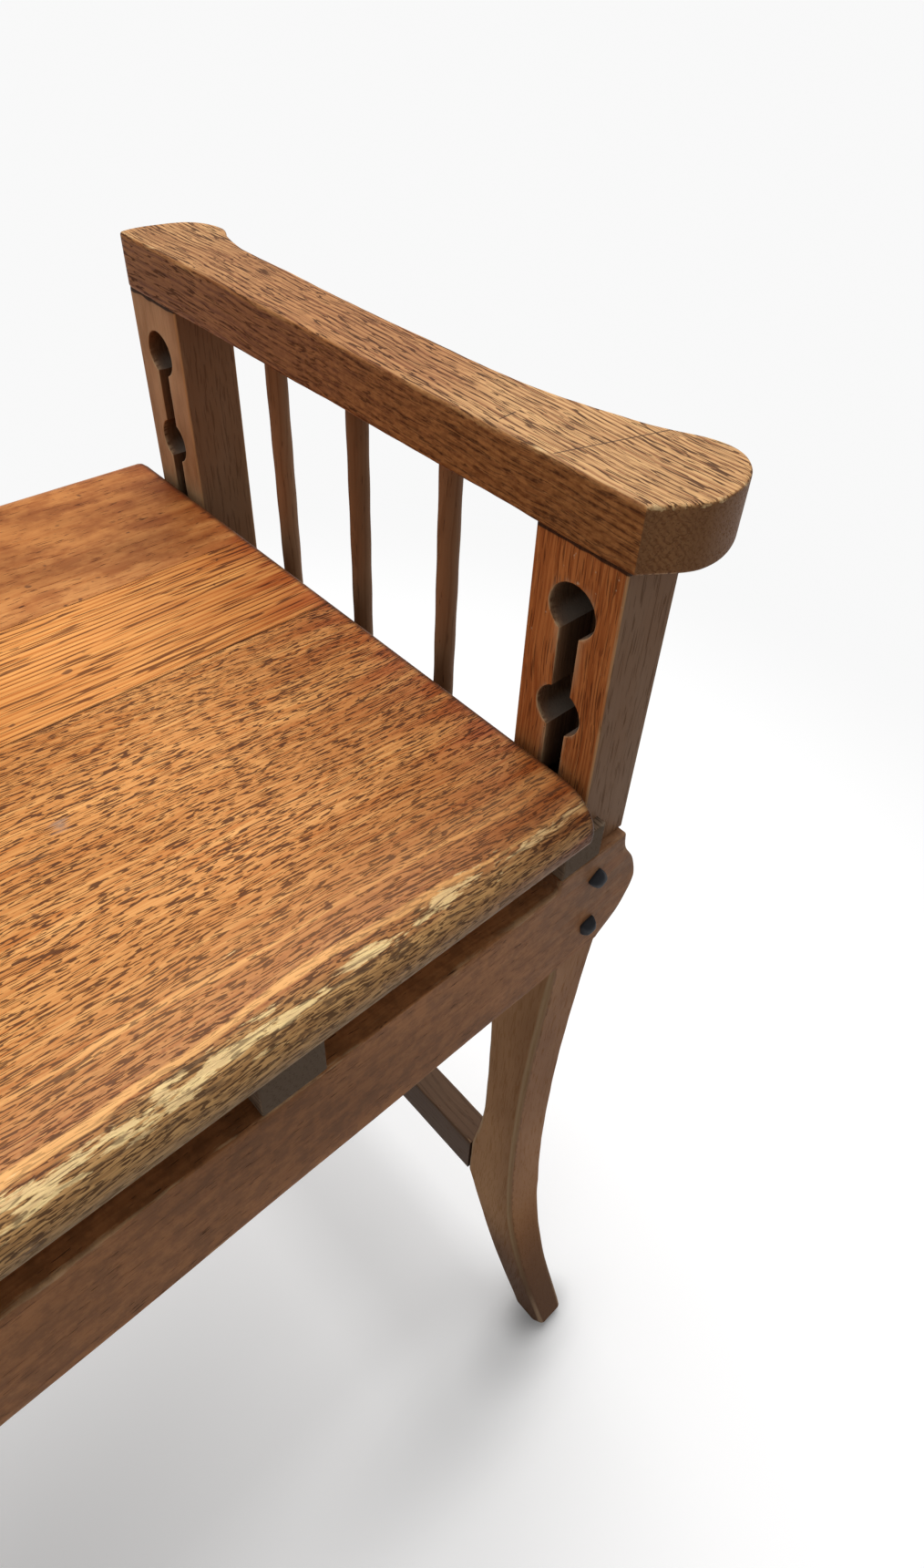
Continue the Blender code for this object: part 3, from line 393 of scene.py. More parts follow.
def board(u, a, b, low, high, rounds, under=None, inner=10, columns=None, outline=None, uneven=0.25,
          seed=1):
    """A board as three grids: one face, the other face and the wall round them.

    u are stations along the board, a and b its edges there, low and high its faces. A face point
    drops by a quarter round where it lies within an edge's radius, and the largest drop counts.
    Distances to an edge are taken across its slope, or from the outline where that is given. rounds
    are the high face's radii at a, b and the two ends, and under is the same for the low face. The
    radii wander along the board by the share uneven, as worn edges do.
    """
    under = rounds if under is None else under
    if columns is None:
        near = np.union1d(quarter(rounds[0]), quarter(under[0]))
        far = np.union1d(quarter(rounds[1]), quarter(under[1]))
        columns = columns_across(a, b, near, far, inner)
    u_grid = np.broadcast_to(u[:, None], columns.shape)
    wander = 1 + uneven * ripple(u_grid * 55, columns * 40, seed)
    slope_a = np.sqrt(1 + np.gradient(a, u) ** 2)[:, None]
    slope_b = np.sqrt(1 + np.gradient(b, u) ** 2)[:, None]
    distances = [
        (columns - a[:, None]) / slope_a, (b[:, None] - columns) / slope_b,
        u_grid - u[0], u[-1] - u_grid,
    ]
    if outline is not None:
        distances[0] = distances[1] = from_outline(outline, u_grid, columns)
    nearest = np.min([d for d, r in zip(distances, rounds) if np.max(r) > 0], 0)
    edge = np.exp(-nearest / EDGE_REACH)
    high = np.broadcast_to(np.asarray(high, float), u.shape)[:, None]
    low = np.broadcast_to(np.asarray(low, float), u.shape)[:, None]
    drops = [
        np.max([fall(d, r * wander) for d, r in zip(distances, radii)], 0)
        for radii in (rounds, under)
    ]
    top = np.stack([u_grid, columns, high - drops[0]], -1)
    bottom = np.stack([u_grid, columns, np.minimum(low + drops[1], high - drops[0])], -1)
    upper, lower = rim_of(top), rim_of(bottom)
    height = np.linalg.norm(upper - lower, axis=-1)
    share = WALL_SHARES[:, None]
    wall = upper + (lower - upper) * share[..., None]
    wall_edge = np.exp(-np.minimum(share, 1 - share) * height / EDGE_REACH)
    return Patch(top, edge=edge), Patch(bottom, edge=edge), Patch(wall, True, edge=wall_edge)


def from_outline(outline, u, v):
    """Distance of each point from the nearest stretch of a closed outline."""
    stretch = np.roll(outline, -1, 0) - outline
    away = np.stack([u, v], -1)[..., None, :] - outline
    share = np.clip((away * stretch).sum(-1) / (stretch ** 2).sum(-1), 0, 1)
    return np.linalg.norm(away - share[..., None] * stretch, axis=-1).min(-1)


def rim_of(grid):
    """A grid's border points in one closed loop."""
    return np.concatenate([grid[:-1, 0], grid[-1, :-1], grid[:0:-1, -1], grid[0, :0:-1]])


def turned(axis_points, radii, sides, square=None, turn=0.0):
    """A closed turned piece along u: rings of those radii at those places, drawn to points.

    The ring is a superellipse |x|^n + |y|^n = 1. square gives n for each ring, 2 being round.
    """
    angle = np.linspace(0, 2 * math.pi, sides, endpoint=False)[None, :]
    power = np.broadcast_to(2.0 if square is None else np.asarray(square, float), radii.shape)
    power = power[:, None]
    cos, sin = np.cos(angle), np.sin(angle)
    reach = (np.abs(cos) ** power + np.abs(sin) ** power) ** (-1 / power)
    v, w = reach * cos * radii[:, None], reach * sin * radii[:, None]
    spun_v = v * math.cos(turn) - w * math.sin(turn)
    spun_w = v * math.sin(turn) + w * math.cos(turn)
    along = np.broadcast_to(axis_points[:, None], spun_v.shape)
    return Patch(np.stack([along, spun_v, spun_w], -1), True)


# Materials


class Finish:
    """A material under construction, with short calls for its nodes."""

    def __init__(self, name):
        self.material = bpy.data.materials.new(name)
        self.material.use_nodes = True
        self.tree = self.material.node_tree
        self.shader = self.tree.nodes["Principled BSDF"]

    def node(self, kind, inputs=None, **settings):
        """Adds a node, sets its settings, and links or sets its inputs."""
        made = self.tree.nodes.new(kind)
        for key, value in settings.items():
            setattr(made, key, value)
        for key, value in (inputs or {}).items():
            self.feed(made.inputs[key], value)
        return made

    def feed(self, socket, value):
        """Links an output to a socket, or sets its value."""
        if isinstance(value, bpy.types.NodeSocket):
            self.tree.links.new(value, socket)
        else:
            socket.default_value = value

    def math(self, operation, a, b=0.0, clamp=False):
        """The result of a Math node."""
        return self.node("ShaderNodeMath", {0: a, 1: b}, operation=operation,
                         use_clamp=clamp).outputs[0]

    def times(self, product, *factors):
        """The product of its values."""
        for factor in factors:
            product = self.math("MULTIPLY", product, factor)
        return product

    def plus(self, a, b, clamp=False):
        """The sum of two values."""
        return self.math("ADD", a, b, clamp)

    def minus(self, a, b, clamp=False):
        """The first value less the second."""
        return self.math("SUBTRACT", a, b, clamp)

    def size(self, value):
        """A value without its sign."""
        return self.math("ABSOLUTE", value)

    def vector(self, operation, a, b=None):
        """The result of a Vector Math node, which is one value for a length or a distance."""
        given = {0: a} if b is None else {0: a, 1: b}
        made = self.node("ShaderNodeVectorMath", given, operation=operation)
        return made.outputs["Value" if operation in ("LENGTH", "DISTANCE") else "Vector"]

    def axes(self, vector):
        """A vector's X, Y and Z."""
        return self.node("ShaderNodeSeparateXYZ", {0: vector}).outputs

    def ramp(self, value, low, high, to_low=0.0, to_high=1.0):
        """A smooth step of a value from low to high."""
        return self.node("ShaderNodeMapRange",
                         {"Value": value, "From Min": low, "From Max": high, "To Min": to_low,
                          "To Max": to_high}, interpolation_type="SMOOTHSTEP").outputs[0]

    def mix(self, factor, a, b, blend="MIX"):
        """Mixes two colours."""
        made = self.node("ShaderNodeMix", data_type="RGBA", blend_type=blend)
        self.feed(made.inputs[0], factor)
        for socket, value in ((made.inputs[6], a), (made.inputs[7], b)):
            self.feed(socket, value if isinstance(value, bpy.types.NodeSocket) else (*value, 1.0))
        return made.outputs[2]

    def over(self, base, top, *shares):
        """Lays a colour over another by the product of the shares."""
        return self.mix(self.times(*shares), base, top)

    def tint(self, base, by, share=1.0):
        """Multiplies a colour by a tint, as far as the share says."""
        return self.mix(share, base, by, "MULTIPLY")

    def noise(self, where, scale, detail=3.0, roughness=0.55):
        """Noise from 0 to 1 on a vector that is stretched by scale along each axis."""
        stretched = self.node("ShaderNodeMapping", {"Vector": where, "Scale": scale})
        made = self.node("ShaderNodeTexNoise", {"Vector": stretched.outputs[0], "Scale": 1.0,
                                                "Detail": detail, "Roughness": roughness})
        return made.outputs[0]

    def attribute(self, name):
        """A piece's own attribute."""
        return self.node("ShaderNodeAttribute", attribute_name=name).outputs["Fac"]

    def shade(self, **sockets):
        """Links or sets the shader's sockets, named with low lines for their spaces."""
        for name, value in sockets.items():
            self.feed(self.shader.inputs[name.replace("_", " ")], value)


GRAIN_TURNS = {"X": (0, 0, 0), "Y": (0, 0, -math.pi / 2), "Z": (0, math.pi / 2, 0)}
SLOW_BEND = (7.0, 0.008)      # scale and reach of the bends in the grain
WAVE_SCALE = 31.0             # scale of the quicker waves in it
PORE_SOFTNESS = 0.045         # from a pore's edge to its full depth, in noise
CROWDING = 0.06               # how far the pores' threshold wanders
PORE_BUMP = 0.00022           # depth of pores in the bump
DRY_SHEEN = 0.12              # weak reflection of waxed and worn wood


def darkened(colour, share):
    """A colour with each channel brought down to a share."""
    return tuple(share * channel for channel in colour)


def oak(name, colours, axis, pith, tilt=(0.0, 0.0), ring=0.003, lines=0.6, width=0.45, broken=0.5,
        pores=(150, 1200, 0.62, 0.1), fibre=0.4, wavy=0.0025, blotch=0.4, worn=None, wear=0.5,
        roughness=0.5, stray=1.7, fade=0.5, ringed=None, lined=False, extra=None):
    """Oak as it grows: rings about a pith line along the grain, cut by the piece's own surface.

    The pith line is turned from the axis by tilt. A point's distance from it, bent by slow and
    quick noise, is counted in ring widths, and the count strays by some rings. Its fraction runs
    from porous early wood to plain late wood: early wood fills the share width of a ring, starts to
    fade at the share fade of that, darkens it by lines, and is broken up along the grain. Between
    the two places in ringed, across the grain, the rings give way to an even tone.
    Fibres and blotches change the tone, end grain is darker, and edges are rubbed by wear to worn.
    """
    light, dark, pore_colour = colours
    made = Finish(name)
    where = made.node("ShaderNodeTexCoord").outputs["Object"]
    along = made.node("ShaderNodeMapping", {"Vector": where, "Rotation": GRAIN_TURNS[axis]}).outputs[0]
    along = made.node("ShaderNodeMapping", {"Vector": along, "Rotation": (0.0, *tilt)}).outputs[0]
    bent = along
    for scale, push in (SLOW_BEND, (WAVE_SCALE, wavy)):
        bend = made.node("ShaderNodeTexNoise", {"Vector": along, "Scale": scale, "Detail": 1.0})
        centred = made.vector("SUBTRACT", bend.outputs["Color"], (0.5, 0.5, 0.5))
        bent = made.vector("ADD", bent, made.vector("MULTIPLY", centred, (0.0, push, push)))
    about_pith = made.node("ShaderNodeMapping", {"Vector": bent, "Location": (0.0, -pith[1], -pith[2])})
    radius = made.vector("LENGTH", made.vector("MULTIPLY", about_pith.outputs[0], (0.0, 1.0, 1.0)))
    jitter = made.noise(bent, (14, 160, 160), 2.0)
    phase = made.math("FRACT", made.plus(made.times(radius, 1 / ring), made.times(jitter, stray)))
    patches = made.noise(bent, (34, 330, 330), 2.0)
    early = made.times(made.ramp(phase, width * fade, width, 1.0, 0.0), made.ramp(phase, 0.0, 0.1),
                       made.ramp(patches, 0.15 + 0.25 * broken, 0.3 + 0.4 * broken))
    if ringed:
        plain = made.ramp(made.axes(along)["Y"], *ringed, 0.0, 0.8)
        early = made.plus(made.times(early, made.minus(1.0, plain)), made.times(plain, 0.6))
    fibres = made.noise(bent, (16, 950, 950), 3.0, 0.7)
    patchy = made.noise(along, (6, 17, 17), 4.0, 0.6)
    tone = made.plus(made.times(early, lines), made.times(made.minus(fibres, 0.5), 3.0 * fibre))
    colour = made.mix(made.plus(tone, 0.2, True), light, dark)
    pore = pore_marks(made, bent, early, pores, lined)
    colour = made.over(colour, pore_colour, pore, 0.9)
    colour = made.over(colour, darkened(dark, 0.5), made.ramp(patchy, 0.42, 0.70), blotch)
    normal = made.node("ShaderNodeTexCoord").outputs["Normal"]
    end_grain = made.ramp(made.size(made.axes(normal)[axis]), 0.55, 0.92)
    colour = made.over(colour, darkened(dark, 0.75), end_grain, 0.9)
    bare = made.noise(bent, (38, 260, 260), 4.0, 0.65)
    rubbed = made.ramp(made.plus(made.times(made.attribute("edge"), wear), bare), 0.84, 0.98)
    colour = made.over(colour, worn or light, rubbed, 0.8)
    gloss = made.plus(made.times(pore, 0.2), made.times(patchy, 0.18))
    gloss = made.plus(gloss, roughness - 0.09, True)
    relief = made.minus(made.times(fibres, 0.35), pore)
    bump = made.node("ShaderNodeBump", {"Height": relief, "Distance": PORE_BUMP, "Strength": 0.6})
    if extra:
        colour = extra(made, colour, dict(where=where, bent=bent, fibre=fibres, bare=bare, pore=pore,
                                          patchy=patchy, early=early, facing=normal))
    made.shade(Base_Color=colour, Roughness=gloss, Normal=bump.outputs[0],
               Specular_IOR_Level=DRY_SHEEN)
    return made.material


def pore_marks(made, bent, early, pores, lined):
    """Pores from 0 to 1: the peaks of noise stretched along the grain, or with lined its contours.

    pores are the noise's counts per metre along and across, a threshold, and how much lower that is
    in early wood. The threshold wanders, so that pores crowd together in places. Contours are the
    places where the noise is close to its middle, and a second noise breaks them into pieces.
    """
    length, thin, threshold, lower = pores
    if lined:
        from_contour = made.size(made.minus(made.noise(bent, (length, thin, thin), 0.0), 0.5))
        dashes = made.minus(0.75, made.times(from_contour, 2.0))
    else:
        dashes = made.noise(bent, (length, thin, thin), 1.0, 0.4)
    crowd = made.minus(made.noise(bent, (40, 130, 130), 2.0), 0.5)
    start = made.minus(threshold, made.times(early, lower))
    start = made.minus(start, made.times(crowd, CROWDING))
    pore = made.ramp(dashes, start, made.plus(start, PORE_SOFTNESS))
    if lined:
        pieces = made.noise(bent, (2.6 * length, 1.3 * thin, 1.3 * thin), 1.0)
        pore = made.times(pore, made.ramp(pieces, 0.44, 0.50))
    return pore


NOSE_CREST = 0.30             # where down the nose it is rubbed most
GREY_SPOT = (0.051, -0.0484, SEAT_HIGH[2])
SEAT_TONES = {
    "sheen": (0.80, 0.72, 0.62), "mottle": (0.72, 0.61, 0.56), "dirt_and_shade": (0.57, 0.33, 0.22),
    "dull": (0.44, 0.210, 0.092), "dull_pore": (0.095, 0.042, 0.026),
    "freckle": (0.165, 0.082, 0.055), "streak": (0.92, 0.50, 0.19), "speck": (0.10, 0.035, 0.014),
    "grey_spot": (0.27, 0.195, 0.155), "tan": (0.65, 0.380, 0.148), "dark_tan": (0.38, 0.205, 0.076),
    "tan_pore": (0.075, 0.034, 0.014), "straw": (0.86, 0.60, 0.29), "torn": (0.12, 0.066, 0.034),
    "scuff": (0.11, 0.055, 0.027), "foot": (0.25, 0.155, 0.070), "joint": (0.070, 0.024, 0.009),
    "end": (0.060, 0.024, 0.011),
}


def worn_seat(colours):
    """A seat board: specks, ends darkened by dirt and painted shade, a dark joint, and a nose worn to tan
    above and grey below.

    The attribute rub counts down the nose, from 0 where its rounding starts to 1 at its foot. The
    rear board is mottled. Behind the front nose early wood turns into dull freckled bands and late
    wood into golden streaks. The nose is bare in islands round its crest, and its torn fibres are
    broken contours of noise stretched along the grain.
    """
    def dress(made, colour, parts):
        where, bent, early, pore = (parts[key] for key in ("where", "bent", "early", "pore"))
        place, tones = made.axes(where), SEAT_TONES
        down = made.attribute("rub")
        broad = made.noise(bent, (15, 120, 120), 3.0, 0.6)
        fine = made.noise(bent, (80, 700, 700), 3.0, 0.6)
        sheen = made.ramp(made.noise(where, (4, 9, 9), 2.0), 0.35, 0.65)
        colour = made.tint(colour, tones["sheen"], sheen)
        aft = made.ramp(place["Y"], 0.060, 0.074)
        mottle = made.ramp(made.noise(where, (48, 70, 70), 4.0, 0.66), 0.40, 0.62)
        colour = made.tint(colour, tones["mottle"], made.times(aft, mottle))
        fore = made.ramp(place["Y"], -0.155, -0.105, 1.0, 0.0)
        dull = made.over(tones["dull"], tones["dull_pore"], pore, 0.85)
        freckle = made.ramp(made.noise(where, (300, 480, 480), 2.0), 0.50, 0.60)
        dull = made.over(dull, tones["freckle"], freckle, 0.6)
        colour = made.over(colour, dull, fore, early, 0.55)
        colour = made.over(colour, tones["streak"], fore, made.minus(1.0, early), 0.6)
        speck = made.ramp(made.noise(where, (150, 190, 190), 1.0), 0.73, 0.79)
        colour = made.over(colour, tones["speck"], speck, 0.75)
        from_spot = made.plus(made.vector("DISTANCE", where, GREY_SPOT), made.times(fine, 0.011))
        colour = made.over(colour, tones["grey_spot"], made.ramp(from_spot, 0.0055, 0.0095, 1.0, 0.0), 0.7)
        lean = made.minus(broad, 0.5)
        wander = made.plus(down, made.times(lean, 0.6))
        tan = made.mix(made.ramp(fine, 0.35, 0.65), tones["tan"], tones["dark_tan"])
        tan = made.over(tan, tones["tan_pore"], pore, 0.85)
        colour = made.over(colour, tan, made.ramp(wander, 0.12, 0.36), 0.85)
        crest = made.minus(1.0, made.times(made.size(made.minus(down, NOSE_CREST)), 3.6), True)
        island = made.noise(bent, (42, 230, 230), 5.0, 0.66)
        bare = made.plus(made.plus(made.times(crest, 0.30), island), made.times(fine, 0.16))
        bare = made.plus(bare, made.ramp(place["X"], 0.02, 0.17, 0.03, -0.055))
        bare = made.ramp(bare, 0.805, 0.875)
        straw = made.mix(made.ramp(fine, 0.35, 0.7), colours.bare_oak, tones["straw"])
        colour = made.over(colour, straw, bare, 0.95)
        from_contour = made.size(made.minus(made.noise(bent, (40, 640, 640), 0.0), 0.5))
        pieces = made.noise(bent, (95, 800, 800), 1.0)
        colour = made.over(
            colour, tones["torn"], made.ramp(from_contour, 0.030, 0.075, 1.0, 0.0),
            made.ramp(pieces, 0.40, 0.50), made.ramp(wander, 0.08, 0.26),
            made.ramp(wander, 0.34, 0.60, 0.85, 0.38), made.ramp(bare, 0.0, 1.0, 1.0, 0.75))
        scuff = made.ramp(made.noise(where, (90, 300, 300), 3.0, 0.7), 0.60, 0.66)
        colour = made.over(colour, tones["scuff"], scuff, made.ramp(down, 0.1, 0.3), 0.7)
        low = made.plus(down, made.times(lean, 0.2))
        colour = made.over(colour, tones["foot"], made.ramp(low, 0.68, 0.88), 0.7)
        # Dirt at the seat's ends, with painted shade in the thin dark line along each end's rounding.
        uneven = made.ramp(broad, 0.3, 0.7, 0.25, 1.4)
        dirt_and_shade = made.math("MULTIPLY", made.attribute("grime"), uneven, True)
        colour = made.tint(colour, tones["dirt_and_shade"], dirt_and_shade)
        from_joint = made.size(made.minus(place["Y"], SEAT_HIGH[1]))
        colour = made.over(colour, tones["joint"], made.ramp(from_joint, 0.0004, 0.0010, 1.0, 0.0),
                           made.ramp(broad, 0.42, 0.58, 0.1, 0.75))
        # Painted shade over dark end grain: a thin dark band along the seat's rounded ends.
        end = made.ramp(made.size(place["X"]), SEAT_HIGH[0] - 0.0042, SEAT_HIGH[0] - 0.0012)
        return made.over(colour, tones["end"], end, 0.8)
    return dress


SCRIBED = ((-0.2647, -0.0608, 0.2012, 0.2480), (0.0950, -0.1068, 0.2042, 0.2135))
ARM_TONES = {
    "handled": (0.96, 0.93, 0.90), "side": (0.80, 0.62, 0.46), "scribed": (0.05, 0.022, 0.010),
    "rough_dark": (0.115, 0.040, 0.013), "rough_light": (0.42, 0.185, 0.066),
}


def worn_arm(colours):
    """An arm: red-brown varnish in patches on top, darker sides, and lines scribed across it.

    The sides are speckled, more so toward the front. A scribed line is given by its slope, its y at
    x = 0, and the x where it starts and ends.
    """
    def dress(made, colour, parts):
        facing, place, tones = made.axes(parts["facing"]), made.axes(parts["where"]), ARM_TONES
        top = made.ramp(facing["Z"], 0.25, 0.8)
        from_middle = made.size(place["Y"])
        kept_more = made.ramp(from_middle, 0.03, 0.10, 0.14, 0.0)
        varnish = made.times(made.ramp(made.plus(parts["patchy"], kept_more), 0.40, 0.66),
                             made.ramp(facing["Z"], 0.25, 0.8, 0.3, 1.0))
        colour = made.tint(colour, colours.arm_stain, varnish)
        colour = made.tint(colour, tones["handled"], made.ramp(from_middle, 0.02, 0.10, 1.0, 0.0))
        side = made.ramp(made.size(facing["X"]), 0.45, 0.85)
        colour = made.tint(colour, tones["side"], side)
        rough = made.ramp(made.noise(parts["where"], (650, 300, 650), 3.0, 0.65), 0.36, 0.64)
        rough = made.mix(rough, tones["rough_dark"], tones["rough_light"])
        colour = made.over(colour, rough, side, made.ramp(place["Y"], -0.06, 0.10, 0.45, 0.15))
        for slope, level, start, end in SCRIBED:
            off = made.minus(place["Y"], made.times(place["X"], slope))
            off = made.size(made.minus(off, level))
            colour = made.over(
                colour, tones["scribed"], made.ramp(off, 0.00018, 0.00042, 1.0, 0.0),
                made.ramp(place["X"], start, start + 0.001), made.ramp(place["X"], end, end - 0.001),
                top, 0.85)
        return colour
    return dress


POST_TONES = {
    "warm_pore": (0.060, 0.016, 0.005), "speck": (0.62, 0.46, 0.30), "rear": (0.55, 0.325, 0.170),
    "dark_rear": (0.36, 0.192, 0.088), "shaded": (0.13, 0.058, 0.024), "wear_and_highlight": (0.28, 0.20, 0.135),
    "leg_side": (1.57, 1.52, 1.24), "leg_face": (1.12, 0.96, 0.68), "pale_edge": (0.60, 0.34, 0.16),
    "gap": (0.022, 0.010, 0.006), "rim": (0.56, 0.38, 0.22), "darker_at_foot": (0.095, 0.050, 0.030),
    "chipped": (0.36, 0.24, 0.15), "dust_and_shade": (0.135, 0.078, 0.044), "deep_shade_and_dust": (0.075, 0.040, 0.021),
    "settled": (0.25, 0.205, 0.165),
}


def varnished_inside(colours, side):
    """A post: warm varnish on its inner side above the rail, greyed front, dusty rims, and pockets of dust
    and painted shade.

    The rear post's varnish is browner and cloudy, and a dark line of painted shade shows under the arm.
    Below the rail the post is a plain leg, paler along its edges with wear and painted highlight, with
    painted shade along the front edge of its inner side, dark at the foot and chipped at the toe.
    """
    def dress(made, colour, parts):
        where, patchy, pore, bare = (parts[key] for key in ("where", "patchy", "pore", "bare"))
        facing, place, tones = made.axes(parts["facing"]), made.axes(where), POST_TONES
        height = place["Z"]
        above = made.ramp(height, 0.42, 0.47)
        below = made.minus(1.0, above)
        face = made.ramp(made.size(facing["Y"]), 0.5, 0.85)
        dull = made.mix(made.ramp(patchy, 0.35, 0.65), colours.dull_grey, colours.frame_dark)
        dull = made.over(dull, colours.frame_pore, pore, 0.22)
        colour = made.over(colour, dull, face, above, 0.8)
        warm = made.mix(made.ramp(parts["fibre"], 0.36, 0.66), colours.warm_light, colours.warm_dark)
        warm = made.over(warm, tones["warm_pore"], pore, 0.62)
        speck = made.ramp(made.noise(where, (330, 330, 330), 2.0), 0.72, 0.75)
        warm = made.over(warm, tones["speck"], speck, 0.6)
        cloud = made.ramp(made.noise(where, (38, 38, 15), 3.0, 0.6), 0.36, 0.64)
        rear = made.mix(cloud, tones["rear"], tones["dark_rear"])
        warm = made.mix(made.ramp(place["Y"], 0.0, 0.1, 0.0, 0.85), warm, rear)
        smooth = made.mix(made.ramp(patchy, 0.3, 0.7), colours.frame_light, colours.frame_dark)
        colour = made.over(colour, smooth, below, 0.85)
        # Painted shade along the front edge of the leg's inner side.
        colour = made.over(colour, tones["shaded"], made.attribute("grime"), below, 0.6)
        # Painted highlight and wear: the leg's arrises turn paler below the rail.
        arris = made.ramp(made.size(made.times(facing["X"], facing["Y"])), 0.12, 0.45)
        colour = made.over(colour, tones["wear_and_highlight"], arris, below, 0.6)
        colour = made.tint(colour, made.mix(face, tones["leg_side"], tones["leg_face"]), below)
        inner = made.ramp(made.times(facing["X"], -side), 0.3, 0.7)
        colour = made.over(colour, warm, inner, above)
        # Painted highlight and wear: paler arrises above the rail where the oak is rubbed.
        colour = made.over(colour, tones["pale_edge"], arris, above, made.ramp(bare, 0.3, 0.55), 0.6)
        # Painted shade: a dark, uneven line along the post's top, under the arm.
        sag = made.times(made.noise(where, (70, 70, 70), 1.0), 0.005)
        gap = made.ramp(made.plus(height, sag), POST_TOP + 0.0009, POST_TOP + 0.0015)
        colour = made.over(colour, tones["gap"], gap, 0.9)
        rubbed = made.ramp(bare, 0.38, 0.6)
        colour = made.over(colour, tones["rim"], made.attribute("rub"), rubbed, 0.6)
        # Darker towards the foot.
        colour = made.over(colour, tones["darker_at_foot"], made.ramp(height, 0.018, 0.105, 1.0, 0.0), 0.85)
        toe = made.ramp(height, 0.014, 0.034, 1.0, 0.0)
        colour = made.over(colour, tones["chipped"], arris, toe, 0.75)
        # The pockets: dust and painted shade, which deepens down the keyhole walls; upward faces turn pale
        # grey.
        dust_and_shade = made.mix(made.ramp(parts["fibre"], 0.3, 0.7), tones["dust_and_shade"], tones["deep_shade_and_dust"])
        dust_and_shade = made.mix(made.ramp(facing["Z"], 0.25, 0.85), dust_and_shade, tones["settled"])
        return made.mix(made.attribute("pocket"), colour, dust_and_shade)
    return dress


RAIL_MOTTLE = ((1.14, 1.12, 1.08), (0.80, 0.78, 0.76))


def greyed_ends(colours):
    """A rail: reddish between the posts, grey at its ears, and mottled all over."""
    def dress(made, colour, parts):
        ends = made.ramp(made.size(made.axes(parts["where"])["X"]), 0.15, 0.215)
        dull = made.mix(made.ramp(parts["patchy"], 0.35, 0.65), colours.dull_grey, colours.rail_light)
        dull = made.mix(made.ramp(parts["fibre"], 0.4, 0.7), dull, colours.rail_dark)
        colour = made.over(colour, dull, ends, 0.75)
        mottle = made.ramp(made.noise(parts["where"], (160, 160, 160), 4.0, 0.7), 0.38, 0.62)
        return made.tint(colour, made.mix(mottle, *RAIL_MOTTLE))
    return dress


IRON_BLOOM = (0.055, 0.035, 0.024)


def black_iron():
    """Blackened iron: uneven gloss and a brown bloom. It is made the first time it is asked for."""
    found = bpy.data.materials.get("black_iron")
    if found:
        return found
    made = Finish("black_iron")
    where = made.node("ShaderNodeTexCoord").outputs["Object"]
    coarse = made.noise(where, (420, 420, 420), 4.0, 0.6)
    fine = made.noise(where, (2600, 2600, 2600), 2.0)
    bloom = made.ramp(coarse, 0.55, 0.75)
    relief = made.plus(coarse, made.times(fine, 0.3))
    bump = made.node("ShaderNodeBump", {"Height": relief, "Distance": 0.0003, "Strength": 0.5})
    made.shade(Base_Color=made.over(bpy.context.scene.stool_colours.iron, IRON_BLOOM, bloom, 0.5),
               Roughness=made.ramp(coarse, 0.2, 0.8, 0.22, 0.50), Normal=bump.outputs[0], Metallic=0.85)
    return made.material


FRAME_GRAIN = dict(ring=0.0034, lines=0.4, pores=(80, 2600, 0.72, 0.06), fibre=0.3, roughness=0.6,
                   wear=0.3, worn=(0.44, 0.27, 0.14))


def frame_oak(name, axis="Z", pith=(0.0, 0.09, 0.05), colours=("frame_light", "frame_dark"), **more):
    """Dull stained oak of the frame, with its grain along an axis."""
    given = bpy.context.scene.stool_colours
    tones = [getattr(given, key) for key in (*colours, "frame_pore")]
    return oak(name, tones, axis, pith, **{**FRAME_GRAIN, **more})


def dress_node(node, material):
    """Gives a carried-over CAD node its material, in every slot that it has."""
    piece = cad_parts[node]
    for place in piece.material_slots:
        place.material = material


# Pieces


class StoolOperator:
    """What the piece operators share."""

    bl_options = {"REGISTER", "UNDO"}


SEAT_STEP = 0.0022            # between a seat board's stations
REAR_NOSE_SHARE = 0.14        # wear of the rear nose against the front one
CREST_WIDTH = 0.18            # how far from its crest a nose is rubbed away
NOSE_WEAR = 0.0005            # and how deep
END_DIRT_AND_SHADE = ((1.5, 0.0025), (0.97, 0.050))    # strength and reach of a thin dark line of dirt and painted shade, and of a broad darkening by dirt
DIRT_AND_SHADE_BACK = ((0.04, 0.09), (1.0, 0.55))      # where in Y the darkened ends get weaker, and their shares
CORNER_DIRT = (0.52, 0.060, 0.045, 0.040)    # strength, reach in X, and place and reach in Y
SEAT_TINTS = {"front": (1.0, 1.0, 1.0), "middle": (0.95, 0.83, 0.69), "rear": (0.78, 0.68, 0.66)}
SEAT_GRAINS = {
    "front": dict(pith=(0, -0.176, 0.435), tilt=(0.022, 0.075), ring=0.0090, lines=0.5, width=0.92,
                  fade=0.9, broken=0.1, pores=(86, 1180, 0.610, 0.105), lined=True, blotch=0.15,
                  fibre=0.6, stray=0.7, ringed=(-0.150, -0.105)),
    "middle": dict(pith=(0, -0.20, 0.44), tilt=(0.0, -0.01), ring=0.0027, lines=0.42, width=0.5,
                   broken=0.15, pores=(15, 560, 0.640, 0.08), lined=True, blotch=0.1, stray=1.1,
                   wavy=0.001),
    "rear": dict(pith=(0, 0.21, 0.36), tilt=(0.01, 0.03), ring=0.0045, lines=0.2, fibre=0.25,
                 pores=(150, 1700, 0.68, 0.05), blotch=0.6),
}


